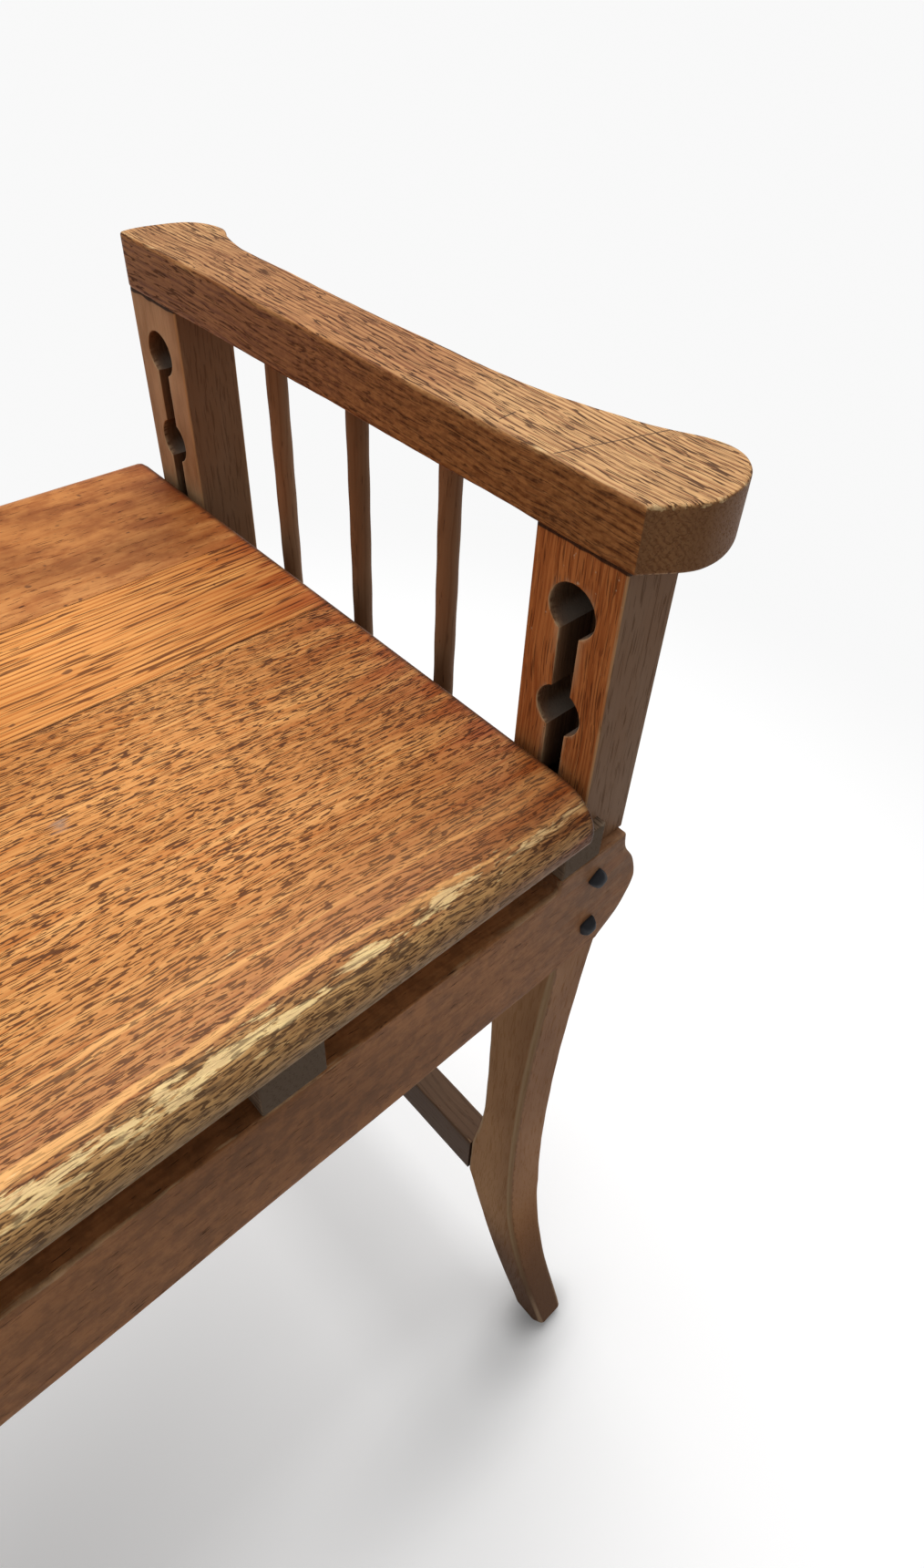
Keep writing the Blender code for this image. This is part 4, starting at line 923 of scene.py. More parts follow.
class STOOL_OT_seat(StoolOperator, bpy.types.Operator):
    """Three boards edge to edge, with a rubbed round nose in front and another behind"""

    bl_idname = "stool.seat"
    bl_label = "Seat boards"

    def execute(self, context):
        """Each board runs along X between two edges in Y. A nose is a wide rounding over a small one."""
        sizes, colours = context.scene.stool_sizes, context.scene.stool_colours
        for seed, (place, grain) in enumerate(SEAT_GRAINS.items()):
            node = f"seat_board_{place}"
            front, rear = place == "front", place == "rear"
            low, high = box_of(node)
            eased = quarter(sizes.seat_end_round)
            u = spaced(low[0], high[0], SEAT_STEP, low[0] + eased, high[0] - eased)
            corner = fall(np.minimum(u - low[0], high[0] - u), sizes.seat_corner)
            a = low[1] + front * corner
            b = high[1] - rear * corner
            ends = (sizes.seat_end_round,) * 2
            rounds, under = (
                (radius * front + JOINT_EASE, radius * rear + JOINT_EASE, *ends)
                for radius in (sizes.nose_round, sizes.nose_foot)
            )
            patches = board(u, a, b, low[2], high[2], rounds, under, inner=34, uneven=0.0, seed=seed)
            for patch in patches:
                self.rub(patch, low, high, sizes.nose_round)
            tones = [np.multiply(tone, SEAT_TINTS[place])
                     for tone in (colours.seat_light, colours.seat_dark)]
            tones.append(colours.line_pore if place == "middle" else colours.seat_pore)
            material = oak(f"seat_oak_{place}", tones, "X", roughness=0.44, wear=0.2,
                           extra=worn_seat(colours), **grain)
            finished(node, patches, material, "seat")
        return {"FINISHED"}

    def rub(self, patch, low, high, nose):
        """Counts down the noses as an angle and then a height, and marks the ends' dirt and painted shade.
        """
        x, y, z = np.moveaxis(patch.points, -1, 0)
        foot = high[2] - nose
        noses = []
        for back, share in ((y - SEAT_LOW[1], 1.0), (SEAT_REAR - y, REAR_NOSE_SHARE)):
            turn = np.arctan2(np.clip(nose - back, 0, nose), np.maximum(z - foot, NUDGE))
            below = np.clip((foot - z) / (foot - low[2]), 0, 1) * (back < nose)
            noses.append(share * (NOSE_TURN * turn / (math.pi / 2) + (1 - NOSE_TURN) * below))
        patch.known["rub"] = np.maximum(*noses)
        from_end = high[0] - np.abs(x)
        from_front = y - SEAT_LOW[1]
        ends = sum(strength * np.exp(-from_end / reach) for strength, reach in END_DIRT_AND_SHADE)
        ends = ends * np.interp(y, *DIRT_AND_SHADE_BACK)
        strength, wide, place, deep = CORNER_DIRT
        corner = strength * np.exp(-(from_end / wide) ** 2 - ((from_front - place) / deep) ** 2)
        patch.known["grime"] = np.clip(np.maximum(ends, corner), 0, 1)
        crest = np.exp(-((noses[0] - NOSE_CREST) / CREST_WIDTH) ** 2)
        patch.points[..., 2] -= NOSE_WEAR * crest * (0.5 + 0.5 * ripple(x * 45, y * 60, 3))


ARM_STEP = 0.004              # between an arm's stations
ARM_WAIST = 0.0325            # width at the waist
LOBE_SETBACK = 0.020          # from the arm's end to the widest place of its lobe
LOBE_SWEEP = 0.075            # from there to the waist, in front
FRONT_LOBE = (0.163, 0.0525, 0.0105)   # reach from the middle, width, and the inner corner's setback
REAR_LOBE = (0.1505, 0.041, 0.0045)
REAR_CORNER = (0.1494, 0.0013)         # one more knot, which rounds the rear lobe's inner corner


class STOOL_OT_arms(StoolOperator, bpy.types.Operator):
    """Flat arms with a waist and a rounded lobe at each end"""

    bl_idname = "stool.arms"
    bl_label = "Arms"

    def execute(self, context):
        """The arm runs along Y. Its inner edge is straight and its outer edge bulges at the ends."""
        sizes, colours = context.scene.stool_sizes, context.scene.stool_colours
        tones = (colours.arm_light, colours.arm_dark, colours.frame_pore)
        material = oak("arm_oak", tones, "Y", pith=(0, -0.12, 0.53), tilt=(0.02, 0.03), ring=0.0019,
                       lines=0.85, width=0.55, broken=0.6, pores=(46, 920, 0.614, 0.09), lined=True,
                       fibre=0.8, wavy=0.003, worn=(0.70, 0.48, 0.24), wear=0.37, roughness=0.52,
                       blotch=0.3, extra=worn_arm(colours))
        outline = curve_through(arm_knots())
        u = spaced(outline[:, 0].min(), outline[:, 0].max(), ARM_STEP, outline[:, 0])
        a, b = two_edges(outline, u)
        rounds = (sizes.arm_arris,) * 2 + (0.0, 0.0)
        for side, sign in (("right", RIGHT), ("left", LEFT)):
            patches = board(u, a, b, ARM_LOW[2], ARM_HIGH[2], rounds, inner=12, outline=outline,
                            uneven=0.45, seed=11 + sign)
            _, bottom, wall = patches
            bottom.known["edge"] = 0.0
            wall.known["edge"] = 0.5 * wall.known["edge"] ** 2 * UPPER_HALF
            finished(f"arm_{side}", patches, material, "frame", "YXZ", (sign, 1, 1))
        return {"FINISHED"}


def arm_knots():
    """Knots of the right arm seen from above, as (y, x): straight inside, lobed outside."""
    rear = arm_lobe(*REAR_LOBE)
    rear.insert(1, (*REAR_CORNER, SMOOTH))
    front = [(-u, v, kind) for u, v, kind in reversed(arm_lobe(*FRONT_LOBE))]
    return [(u, ARM_LOW[0] + v, kind) for u, v, kind in rear + front]


def arm_lobe(half, lobe, corner):
    """One end of the arm: inner corner, round end, widest place and the sweep to the waist."""
    full = half - LOBE_SETBACK
    sweep = LOBE_SWEEP * (lobe - ARM_WAIST) / (FRONT_LOBE[1] - ARM_WAIST)
    return [
        (half - corner, 0.0, CORNER),
        (half, 0.39 * lobe, SMOOTH),
        (half - 0.27 * LOBE_SETBACK, 0.85 * lobe, SMOOTH),
        (full, lobe, SMOOTH),
        (full - 0.35 * sweep, (lobe + ARM_WAIST) / 2, SMOOTH),
        (full - sweep, ARM_WAIST, SMOOTH),
    ]


POST_STEP = 0.0045            # between a post's stations
POST_END_EASE = 0.0008        # extra stations this far from a post's ends
POST_END_ROUNDS = (0.0006, 0.0004)     # at the foot and at the top
HOLE_COUNT = 4
HOLE_STEPS = 15               # points from the middle of a hole's side to the slot
WINDOW_SIDE = 0.0007          # room beside the keyholes in their window
WINDOW_END = 0.004            # and room above and below them
WINDOW_START = (0.36, 0.02)   # height from which columns move to the window, and over what length
LEG_TAPER = (0.118, 0.009)    # height below which a leg gets thinner, and how much it loses
SOFT_LEG = (0.004, 0.03)      # edges are softer from this far over the rail's foot, and over what length
LEG_SHADE = 0.010             # reach of the painted shade along the front edge of a post's inner side
HOUSING_GAP = 0.0003          # room round the rail and the block in a post
HOUSING_PAST = 0.003          # how far the cutters stand out of a post


class STOOL_OT_posts(StoolOperator, bpy.types.Operator):
    """Posts that turn into sabre legs, with keyhole slots in their inner sides"""

    bl_idname = "stool.posts"
    bl_label = "Posts and legs"

    def execute(self, context):
        """The post runs along Z between its front and back edges in Y, with its thickness in X."""
        sizes, colours = context.scene.stool_sizes, context.scene.stool_colours
        patches = post_patches(sizes)
        for side, across in (("right", RIGHT), ("left", LEFT)):
            material = frame_oak(f"post_oak_{side}", pith=(0.0, 0.10, 0.30), wear=0.4,
                                 pores=(70, 1800, 0.62, 0.08), extra=varnished_inside(colours, across))
            for place, deep in (("front", FRONT), ("rear", REAR)):
                sign = (across, deep, 1)
                piece = finished(f"{place}_post_{side}", patches, material, "frame",
                                 "ZYX", sign)
                house(piece, sizes.post_front, sign)
        return {"FINISHED"}


def post_knots(sizes):
    """Knots of the front post and leg seen from the side, as (z, y), down the front and up the back."""
    front = -sizes.post_front
    back = front + sizes.post_width
    return [
        (POST_TOP, front, CORNER),
        (RAIL_FOOT, front, CORNER),
        (0.237, front + 0.0056, SMOOTH),       # hollow under the rail
        (0.115, front + 0.0004, SMOOTH),
        (0.053, front - 0.0165, SMOOTH),
        (0.0065, front - 0.0425, CORNER),      # toe
        (0.0, front - 0.038, CORNER),
        (0.0, front - 0.0175, CORNER),         # heel
        (0.0445, front + 0.0098, SMOOTH),
        (STRETCHER_LOW[2], back, CORNER),      # flat for the stretcher
        (STRETCHER_HIGH[2], back, CORNER),
        (0.205, back - 0.0065, SMOOTH),        # calf
        (RAIL_FOOT, back, CORNER),
        (POST_TOP, back, CORNER),
    ]


def hole_side(sizes):
    """Half widths and heights up one side of the keyholes, from the lowest centre to the topmost.

    Round each hole the side is its circle, until the slot's half width is reached.
    """
    half, radius = sizes.slot_width / 2, sizes.hole_diameter / 2
    meet = math.acos(half / radius)
    turn = np.linspace(-meet, meet, 2 * HOLE_STEPS - 1)
    centres = sizes.hole_top - sizes.hole_pitch * np.arange(HOLE_COUNT)[::-1]
    wide = np.concatenate([radius * np.cos(turn)] * HOLE_COUNT)
    tall = np.concatenate([centre + radius * np.sin(turn) for centre in centres])
    inside = (tall >= centres[0] - NUDGE) & (tall <= centres[-1] + NUDGE)
    return wide[inside], tall[inside], centres


def post_patches(sizes):
    """Grids of the front right post, with the keyholes' window cut out of its inner side."""
    outline = curve_through(post_knots(sizes))
    wide, tall, centres = hole_side(sizes)
    radius = sizes.hole_diameter / 2
    bottom, top = centres[0] - radius - WINDOW_END, centres[-1] + radius + WINDOW_END
    u = spaced(0.0, POST_TOP, POST_STEP, outline[:, 0], tall, bottom, top,
               POST_END_EASE, POST_TOP - POST_END_EASE)
    in_window = (u >= bottom - NUDGE) & (u <= top + NUDGE)
    level = np.abs(u[:, None] - tall[None, :]).min(1) < WELD
    u = u[~in_window | level | (u <= centres[0]) | (u >= centres[-1])]
    a, b = two_edges(outline, u)
    taper = np.clip(1 - u / LEG_TAPER[0], 0, 1) * LEG_TAPER[1]
    softer = np.clip((RAIL_FOOT + SOFT_LEG[0] - u) / SOFT_LEG[1], 0, 1)[:, None]
    arris = sizes.post_arris + (sizes.leg_arris - sizes.post_arris) * softer
    offsets = quarter(1.0) * arris
    columns = columns_across(a, b, offsets, offsets, 8)
    middle = -sizes.post_front + sizes.post_width / 2
    first, last = ROUND_STEPS + 2, columns.shape[1] - ROUND_STEPS - 3
    reach = radius + WINDOW_SIDE
    window = np.linspace(middle - reach, middle + reach, last - first + 1)
    blend = np.clip((u - WINDOW_START[0]) / WINDOW_START[1], 0, 1)[:, None]
    columns[:, first:last + 1] += (window - columns[:, first:last + 1]) * blend
    faces = board(u, a, b, POST_IN, POST_OUT - taper, (arris, arris, *POST_END_ROUNDS),
                  columns=columns, uneven=0.1, seed=21)
    inner = faces[1]
    # Painted shade along the front edge of the inner side, below the rail.
    inner.known["grime"] = np.exp(-(columns - a[:, None]) / LEG_SHADE)
    row = int(np.argmin(np.abs(u - bottom)))
    last_row = int(np.argmin(np.abs(u - top)))
    inner.skip = (row, last_row, first, last)
    rim = rim_of(inner.points[row:last_row + 1, first:last + 1])
    return [*faces, *keyhole_patches(sizes, rim, middle, wide, tall, centres)]


def keyhole_patches(sizes, rim, middle, wide, tall, centres):
    """From the window's rim to the keyholes' edge, over a worn rounding, down to the pocket's floor.

    Beside the holes each rim point looks straight across at the edge. Above the topmost centre and
    below the lowest it looks at that hole's centre, and the edge lies on the circle in between.
    """
    height, y = rim[:, 0], rim[:, 1] - middle
    centre = np.clip(height, centres[0], centres[-1])
    beyond = height - centre
    away = np.hypot(beyond, y)
    radius = sizes.hole_diameter / 2
    level = np.interp(height, tall, wide)
    round_end = np.abs(beyond) > NUDGE
    edge_v = np.where(round_end, y / away * radius, np.sign(y) * level)
    edge_u = np.where(round_end, centre + beyond / away * radius, height)
    edge = np.stack([edge_u, edge_v], -1)
    ahead = np.roll(edge, -1, 0) - np.roll(edge, 1, 0)
    out = np.stack([-ahead[:, 1], ahead[:, 0]], -1)
    out /= np.linalg.norm(out, axis=1, keepdims=True) + NUDGE
    outward = np.sign(np.sum(out * np.stack([beyond, y], -1), 1, keepdims=True))
    out = out * np.where(outward == 0, 1, outward)
    soft = sizes.hole_rim

    def ring(spread, depth):
        """The keyholes' edge moved outward by spread and sunk to a depth."""
        moved = edge + out * spread
        return np.stack([moved[:, 0], moved[:, 1] + middle, np.full(len(edge), POST_IN + depth)], -1)

    thirds = np.linspace(0, 1, 4)[:, None, None]
    land = rim + (ring(soft, 0.0) - rim) * thirds
    turn = np.linspace(0, math.pi / 2, 4)
    lips = np.stack([ring(soft * (1 - math.sin(t)), soft * (1 - math.cos(t))) for t in turn])
    wall = np.stack([ring(0.0, depth) for depth in np.linspace(soft, sizes.hole_depth, 7)])
    spine = np.stack([centre, np.full(len(edge), middle),
                      np.full(len(edge), POST_IN + sizes.hole_depth)], -1)
    floor = wall[-1] + (spine - wall[-1]) * thirds
    worn = np.array([0.0, 0.0, 0.15, 0.6])[:, None]
    # Painted shade with dust: the pocket darkens toward its floor.
    darker = np.clip(np.linspace(0.1, 2.4, 7), 0, 1)[:, None]
    return [
        Patch(land, True, rub=worn), Patch(lips, True, rub=1.0),
        Patch(wall, True, pocket=darker), Patch(floor, True, pocket=1.0),
    ]


def house(piece, post_front, sign):
    """Cuts the rail's housing and the end block's notch out of a post, each with a box."""
    gap = HOUSING_GAP
    inner, outer = POST_IN - HOUSING_PAST, POST_OUT + HOUSING_PAST
    front, back = -post_front - HOUSING_PAST, RAIL_HIGH[1] + gap
    cuts = (
        ((inner, front, RAIL_FOOT - gap), (outer, back, RAIL_TOP + gap)),
        ((inner, front, RAIL_TOP - gap), (BLOCK_HIGH[0] + gap, back, BLOCK_HIGH[2] + gap)),
    )
    for cut in cuts:
        low, high = np.sort(np.array(cut) * sign, 0)
        box = Matrix.LocRotScale(Vector((low + high) / 2), None, Vector(high - low))
        shape = bmesh.new()
        bmesh.ops.create_cube(shape, size=1.0, matrix=box)
        mesh = bpy.data.meshes.new("housing")
        shape.to_mesh(mesh)
        shape.free()
        cutter = bpy.data.objects.new("housing", mesh)
        bpy.context.scene.collection.objects.link(cutter)
        step = piece.modifiers.new("housing", "BOOLEAN")
        step.object = cutter
        step.solver = "EXACT"
        graph = bpy.context.evaluated_depsgraph_get()
        made = bpy.data.meshes.new_from_object(piece.evaluated_get(graph), depsgraph=graph)
        piece.modifiers.clear()
        piece.data = made
        bpy.data.objects.remove(cutter, do_unlink=True)


SPINDLE_RADII = (0.0042, 0.0004)       # at the foot, and what it gains up to the top
SPINDLE_WAVE = (0.00008, 37)           # height and quickness of the unevenness along it
BAR_STEP = 0.004              # between stations of stretchers, side rails and rails


class STOOL_OT_spindles(StoolOperator, bpy.types.Operator):
    """Slim round bars between arm and side rail"""

    bl_idname = "stool.spindles"
    bl_label = "Spindles"

    def execute(self, context):
        """A circle carried up Z, a little thinner at the foot."""
        material = frame_oak("spindle_oak", ring=0.0028, wear=0.0, pith=(0.0, 0.05, 0.24))
        foot, gain = SPINDLE_RADII
        wave, quick = SPINDLE_WAVE
        for side in ("right", "left"):
            for number in (1, 2, 3):
                node = f"spindle_{side}_{number}"
                low, high = box_of(node)
                middle = (low + high) / 2
                u = np.concatenate([low[2:], np.linspace(low[2], high[2], 30), high[2:]])
                share = (u - low[2]) / (high[2] - low[2])
                radii = foot + gain * share + wave * np.sin(share * quick + number)
                radii[[0, -1]] = 0.0
                patch = turned(u, radii, 40)
                patch.points[..., 1:] += middle[[1, 0]]
                finished(node, [patch], material, "frame", "ZYX")
        return {"FINISHED"}


class STOOL_OT_cross_bars(StoolOperator, bpy.types.Operator):
    """Stretchers between the legs and side rails under the spindles"""

    bl_idname = "stool.cross_bars"
    bl_label = "Stretchers and side rails"

    def execute(self, context):
        """Plain boards along Y with eased edges, from post to post."""
        sizes = context.scene.stool_sizes
        # The bar colours hold painted shade as well as the dark stain.
        material = frame_oak("bar_oak", "Y", pith=(0, -0.07, 0.3), colours=("bar_light", "bar_dark"))
        reach = sizes.post_front - sizes.post_width
        u = spaced(-reach, reach, BAR_STEP)
        rounds = (sizes.rail_arris,) * 2 + (0.0, 0.0)
        for name, low, high in (("stretcher", STRETCHER_LOW, STRETCHER_HIGH),
                                ("side_rail", SIDE_LOW, SIDE_HIGH)):
            a, b = np.full_like(u, low[2]), np.full_like(u, high[2])
            patches = board(u, a, b, low[0], high[0], rounds, inner=8, uneven=0.4, seed=31)
            for side, sign in (("right", RIGHT), ("left", LEFT)):
                finished(f"{name}_{side}", patches, material, "frame", "YZX", (sign, 1, 1))
        return {"FINISHED"}


class STOOL_OT_rails(StoolOperator, bpy.types.Operator):
    """Front and rear rails with ogee ears and finger bays"""

    bl_idname = "stool.rails"
    bl_label = "Rails"

    def execute(self, context):
        """The rail runs along X between its lower and upper edges in Z, with its thickness in Y."""
        sizes, colours = context.scene.stool_sizes, context.scene.stool_colours
        material = frame_oak("rail_oak", "X", pith=(0, -0.30, 0.36), colours=("rail_light", "rail_dark"),
                             tilt=(0.0, 0.02), lines=0.3, blotch=0.6, wear=0.45, fibre=0.5,
                             pores=(150, 1700, 0.70, 0.06), extra=greyed_ends(colours))
        outline = curve_through(rail_knots(sizes.bay_drop))
        u = spaced(outline[:, 0].min(), outline[:, 0].max(), BAR_STEP, outline[:, 0])
        a, b = two_edges(outline, u)
        rounds = (sizes.rail_arris,) * 2 + (0.0, 0.0)
        patches = board(u, a, b, RAIL_LOW[1], RAIL_HIGH[1], rounds, inner=12, uneven=0.5, seed=41)
        for place, deep in (("front", FRONT), ("rear", REAR)):
            finished(f"{place}_rail", patches, material, "frame", "XZY", (1, deep, 1))
        return {"FINISHED"}


def rail_knots(bay):
    """Knots of the rail seen from the front, as (x, z): ogee ears, and bays between the blocks.

    A bay ends in a quarter circle that rises to the land under the end block.
    """
    reach, drop = RAIL_HIGH[0] - POST_OUT, 0.038
    ear_top, ear_foot, ease = POST_OUT - 0.0022, POST_OUT - 0.0062, 0.0018
    full = RAIL_TOP - drop
    land = BLOCK_LOW[0] - 0.0003
    turn = np.linspace(0, math.pi / 2, 7)
    corner = zip(land - bay + bay * np.sin(turn), RAIL_TOP - bay * np.cos(turn))
    half = [
        *[(u, v, CORNER) for u, v in corner],
        (ear_top, RAIL_TOP, CORNER),
        (ear_top + 0.18 * reach, RAIL_TOP - 0.25 * drop, SMOOTH),
        (POST_OUT + 0.72 * reach, RAIL_TOP - 0.62 * drop, SMOOTH),
        (POST_OUT + reach, full, SMOOTH),
        (POST_OUT + 0.45 * reach, (full + RAIL_FOOT) / 2 - ease, SMOOTH),
        (ear_foot, RAIL_FOOT + ease, CORNER),
        (ear_foot - ease, RAIL_FOOT, CORNER),
    ]
    other = [(-u, v, kind) for u, v, kind in reversed(half)]
    return half + other


BLOCK_STEP = 0.0015           # between a block's stations
BLOCK_EASE = 0.0006           # radius of its edges


class STOOL_OT_blocks(StoolOperator, bpy.types.Operator):
    """End-grain rest blocks on the rails"""

    bl_idname = "stool.blocks"
    bl_label = "Rest blocks"

    def execute(self, context):
        """Small boards along X, each eased all round."""
        grey = context.scene.stool_colours.end_grain
        material = oak("block_oak", (grey, darkened(grey, 0.6), darkened(grey, 0.4)), "Y",
                       pith=(0, 0.02, 0.42), ring=0.0028, lines=0.4, wear=0.3,
                       worn=(0.30, 0.22, 0.15), roughness=0.75, blotch=0.35)
        ends = quarter(BLOCK_EASE)
        for place in ("front", "rear"):
            for number in (1, 2, 3, 4):
                node = f"{place}_block_{number}"
                low, high = box_of(node)
                u = spaced(low[0], high[0], BLOCK_STEP, low[0] + ends, high[0] - ends)
                a, b = np.full_like(u, low[2]), np.full_like(u, high[2])
                patches = board(u, a, b, low[1], high[1], (BLOCK_EASE,) * 4, inner=8, seed=number)
                finished(node, patches, material, "frame", "XZY")
        return {"FINISHED"}


UPPER_TURN, LOWER_TURN = 0.62, 0.21    # where the screws' heads stopped, in radians
ROD_EASE = 0.0006             # easing of a lock rod's ends
ROD_ROOM = 0.0003             # between a rod's end and the post
ROD_RINGS = 23


class STOOL_OT_coach_screws(StoolOperator, bpy.types.Operator):
    """Square black heads of the coach screws, each stopped at its own angle"""

    bl_idname = "stool.coach_screws"
    bl_label = "Coach screws"

    def execute(self, context):
        """Rings along the screw: a round shank, then a square head that tapers to a low crown."""
        material = black_iron()
        head = context.scene.stool_sizes.screw_head / 2
        along = np.array([-132, -132, -3, -3, 3, 12, 24, 32, 38, 41, 42]) * 1e-4
        radii = np.array([0, 0.64, 0.64, 0.95, 1, 0.97, 0.84, 0.72, 0.52, 0.26, 0]) * head
        square = np.array([2, 2, 2, 6, 7, 7, 6, 5, 4, 3, 2])
        for node in [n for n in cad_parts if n.startswith("coach_screw")]:
            low, high = box_of(node)
            middle = (low + high) / 2
            face, out = (RAIL_LOW[1], -1) if "front" in node else (-RAIL_LOW[1], 1)
            turn = UPPER_TURN if "upper" in node else LOWER_TURN
            turn *= RIGHT if "right" in node else LEFT
            patch = turned(along, radii, 64, square, turn)
            patch.points[..., 0] = face + out * patch.points[..., 0]
            patch.points[..., 1:] += middle[[0, 2]]
            finished(node, [patch], material, "frame", "YXZ")
        return {"FINISHED"}


class STOOL_OT_lock_gear(StoolOperator, bpy.types.Operator):
    """Lock rods and levers under the seat, and the finish of their heads and pins"""

    bl_idname = "stool.lock_gear"
    bl_label = "Lock rods and levers"

    def execute(self, context):
        """Rods are circles along X with eased ends. Heads, pins and levers keep their CAD shape."""
        material = black_iron()
        shoulder = POST_IN - ROD_ROOM
        straight = np.linspace(ROD_EASE - shoulder, shoulder - ROD_EASE, ROD_RINGS)
        along = np.concatenate([[-shoulder] * 2, straight, [shoulder] * 2])
        for place in ("front", "rear"):
            node = f"{place}_lock_rod"
            low, high = box_of(node)
            radius = (high[2] - low[2]) / 2
            end = [0.0, radius - ROD_EASE]
            radii = np.concatenate([end, np.full(ROD_RINGS, radius), end[::-1]])
            rod = turned(along, radii, 48)
            rod.points[..., 1:] += ((low + high) / 2)[1:]
            finished(node, [rod], material, f"{place}_rod")
            for node in (f"{place}_key_head_right", f"{place}_key_head_left", f"{place}_lever_pin",
                         f"{place}_lock_lever"):
                dress_node(node, material)
        return {"FINISHED"}


class STOOL_OT_underside(StoolOperator, bpy.types.Operator):
    """Finish of the bearers under the seat and of their screws"""

    bl_idname = "stool.underside"
    bl_label = "Bearers and screws"

    def execute(self, context):
        """The CAD nodes keep their own shape here."""
        wood = frame_oak("bearer_oak", "Y", pith=(0, -0.05, 0.30))
        iron = black_iron()
        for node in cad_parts:
            if node.startswith("bearer"):
                dress_node(node, iron if "screw" in node else wood)
        return {"FINISHED"}


FLOOR_REACH = 30.0            # half of the floor's side
FLOOR_FADE = (0.35, 1.1)      # distances between which the floor turns into the backdrop
FLOOR_BOUNCE = (0.42, 0.42, 0.42)      # the floor's colour where only its light is felt
LAMP_SIZE = (2.0, 1.5)
LAMP_PLACE = (0.55, 0.45, 2.2)
LAMP_TURN = (-11, 14, 0)      # degrees
CAMERA_SHIFT = (-0.01737, -0.03773)
CAMERA_PLACE = (-0.00429, -0.29111, 0.74363)
CAMERA_TURN = (47.939, -3.52, -43.513)
# Soft dark patches beside a foot, as centre, reach and depth. The floor's coordinates lose their
# signs first, so that one set serves all four feet.
FOOT_SHADOWS = (((0.206, 0.183, 0.0), (0.034, 0.020, 1.0), 0.52),
                ((0.188, 0.188, 0.0), (0.060, 0.034, 1.0), 0.26),
                ((0.130, 0.194, 0.0), (0.150, 0.052, 1.0), 0.17))


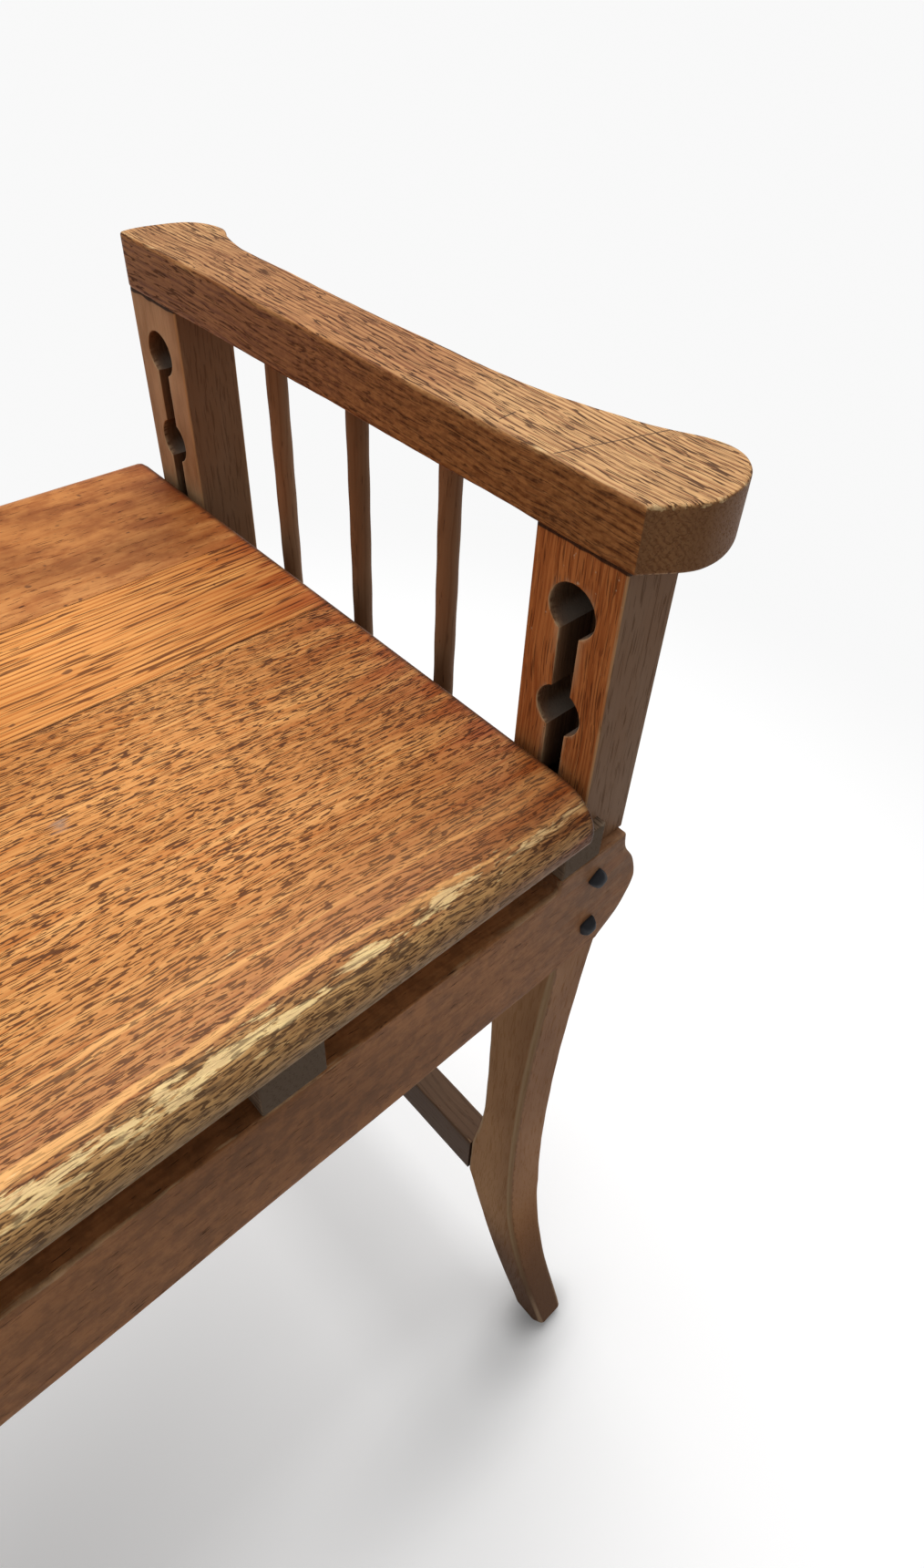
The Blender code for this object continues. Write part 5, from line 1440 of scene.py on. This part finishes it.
class STOOL_OT_stage(StoolOperator, bpy.types.Operator):
    """Pale floor, soft light and the photograph's camera"""

    bl_idname = "stool.stage"
    bl_label = "Stage"

    def execute(self, context):
        """The floor fades into the backdrop's white with distance, and keeps the stool's shadow."""
        stage = context.scene.stool_stage
        self.floor(stage)
        self.lamps(context, stage)
        self.camera(context, stage)
        context.scene.view_settings.view_transform = "Standard"
        return {"FINISHED"}

    def floor(self, stage):
        """A flat grid whose finish turns into plain white away from the stool."""
        side = np.linspace(-FLOOR_REACH, FLOOR_REACH, 25)
        x, y = np.meshgrid(side, side, indexing="ij")
        points = np.stack([x, y, np.zeros_like(x)], -1)
        mesh = bpy.data.meshes.new("floor")
        quads = grid_quads(len(side), len(side), False).reshape(-1, 4)
        mesh.from_pydata(points.reshape(-1, 3), [], quads.tolist())
        made = Finish("floor_paint")
        where = made.node("ShaderNodeTexCoord").outputs["Object"]
        ray = made.node("ShaderNodeLightPath").outputs
        seen = made.math("MAXIMUM", ray["Is Camera Ray"], ray["Is Glossy Ray"])
        folded = made.vector("ABSOLUTE", where)
        clear = 1.0
        for centre, reach, depth in FOOT_SHADOWS:
            off = made.vector("DIVIDE", made.vector("SUBTRACT", folded, centre), reach)
            light = made.ramp(made.vector("LENGTH", off), 0.0, 1.0, 1.0 - depth, 1.0)
            clear = made.times(clear, light)
        paint = made.mix(seen, FLOOR_BOUNCE, stage.floor)
        paint = made.over(paint, (0.0, 0.0, 0.0), made.minus(1.0, clear))
        made.shade(Base_Color=paint, Roughness=0.9, Specular_IOR_Level=0.0)
        lift = made.node("ShaderNodeEmission", {"Strength": made.times(seen, clear, stage.lift)})
        lifted = made.node("ShaderNodeAddShader", {0: made.shader.outputs[0], 1: lift.outputs[0]})
        glow = made.node("ShaderNodeEmission", {"Color": (*stage.backdrop, 1.0), "Strength": 1.0})
        faded = made.times(made.ramp(made.vector("LENGTH", where), *FLOOR_FADE), seen)
        blend = made.node("ShaderNodeMixShader", {0: faded, 1: lifted.outputs[0], 2: glow.outputs[0]})
        made.feed(made.tree.nodes["Material Output"].inputs["Surface"], blend.outputs[0])
        mesh.materials.append(made.material)
        floor = bpy.data.objects.new("floor", mesh)
        bpy.context.scene.collection.objects.link(floor)

    def lamps(self, context, stage):
        """One wide lamp overhead and an even sky."""
        lamp = bpy.data.lights.new("overhead", "AREA")
        lamp.shape = "RECTANGLE"
        lamp.size, lamp.size_y = LAMP_SIZE
        lamp.energy = stage.lamp_watts
        hung = bpy.data.objects.new("overhead", lamp)
        hung.location = LAMP_PLACE
        hung.rotation_euler = Euler(np.radians(LAMP_TURN))
        context.scene.collection.objects.link(hung)
        world = bpy.data.worlds.new("even_sky")
        context.scene.world = world
        world.use_nodes = True
        sky = world.node_tree.nodes["Background"]
        sky.inputs["Color"].default_value = (1.0, 1.0, 1.0, 1.0)
        sky.inputs["Strength"].default_value = stage.sky

    def camera(self, context, stage):
        """The photograph's viewpoint, with the small shift that its cropping left."""
        lens = bpy.data.cameras.new("camera")
        lens.sensor_width = 36.0
        lens.lens = stage.lens
        lens.shift_x, lens.shift_y = CAMERA_SHIFT
        lens.clip_start = 0.01
        camera = bpy.data.objects.new("camera", lens)
        camera.location = CAMERA_PLACE
        camera.rotation_euler = Euler(np.radians(CAMERA_TURN))
        context.scene.collection.objects.link(camera)
        context.scene.camera = camera


class STOOL_PT_panel(bpy.types.Panel):
    """Lists the stool's pieces in the sidebar"""

    bl_label = "Adjustable stool"
    bl_idname = "STOOL_PT_panel"
    bl_space_type = "VIEW_3D"
    bl_region_type = "UI"
    bl_category = "Stool"

    def draw(self, context):
        """One button for each operator."""
        for operator in OPERATORS:
            self.layout.operator(operator.bl_idname)


OPERATORS = (
    STOOL_OT_posts, STOOL_OT_arms, STOOL_OT_spindles, STOOL_OT_cross_bars, STOOL_OT_rails,
    STOOL_OT_blocks, STOOL_OT_coach_screws, STOOL_OT_seat, STOOL_OT_lock_gear, STOOL_OT_underside,
    STOOL_OT_stage,
)
GROUPS = {"stool_sizes": StoolSizes, "stool_colours": StoolColours, "stool_stage": StoolStage}


def register():
    """Registers the classes and hangs the property groups on the scene."""
    for group in (*GROUPS.values(), *OPERATORS, STOOL_PT_panel):
        bpy.utils.register_class(group)
    for name, group in GROUPS.items():
        setattr(bpy.types.Scene, name, PointerProperty(type=group))


def unregister():
    """Takes the property groups and classes away again."""
    for name in GROUPS:
        delattr(bpy.types.Scene, name)
    for group in reversed((*GROUPS.values(), *OPERATORS, STOOL_PT_panel)):
        bpy.utils.unregister_class(group)


def main():
    """Builds every piece in order."""
    register()
    for operator in OPERATORS:
        family, name = operator.bl_idname.split(".")
        getattr(getattr(bpy.ops, family), name)()


if __name__ == "__main__":
    main()
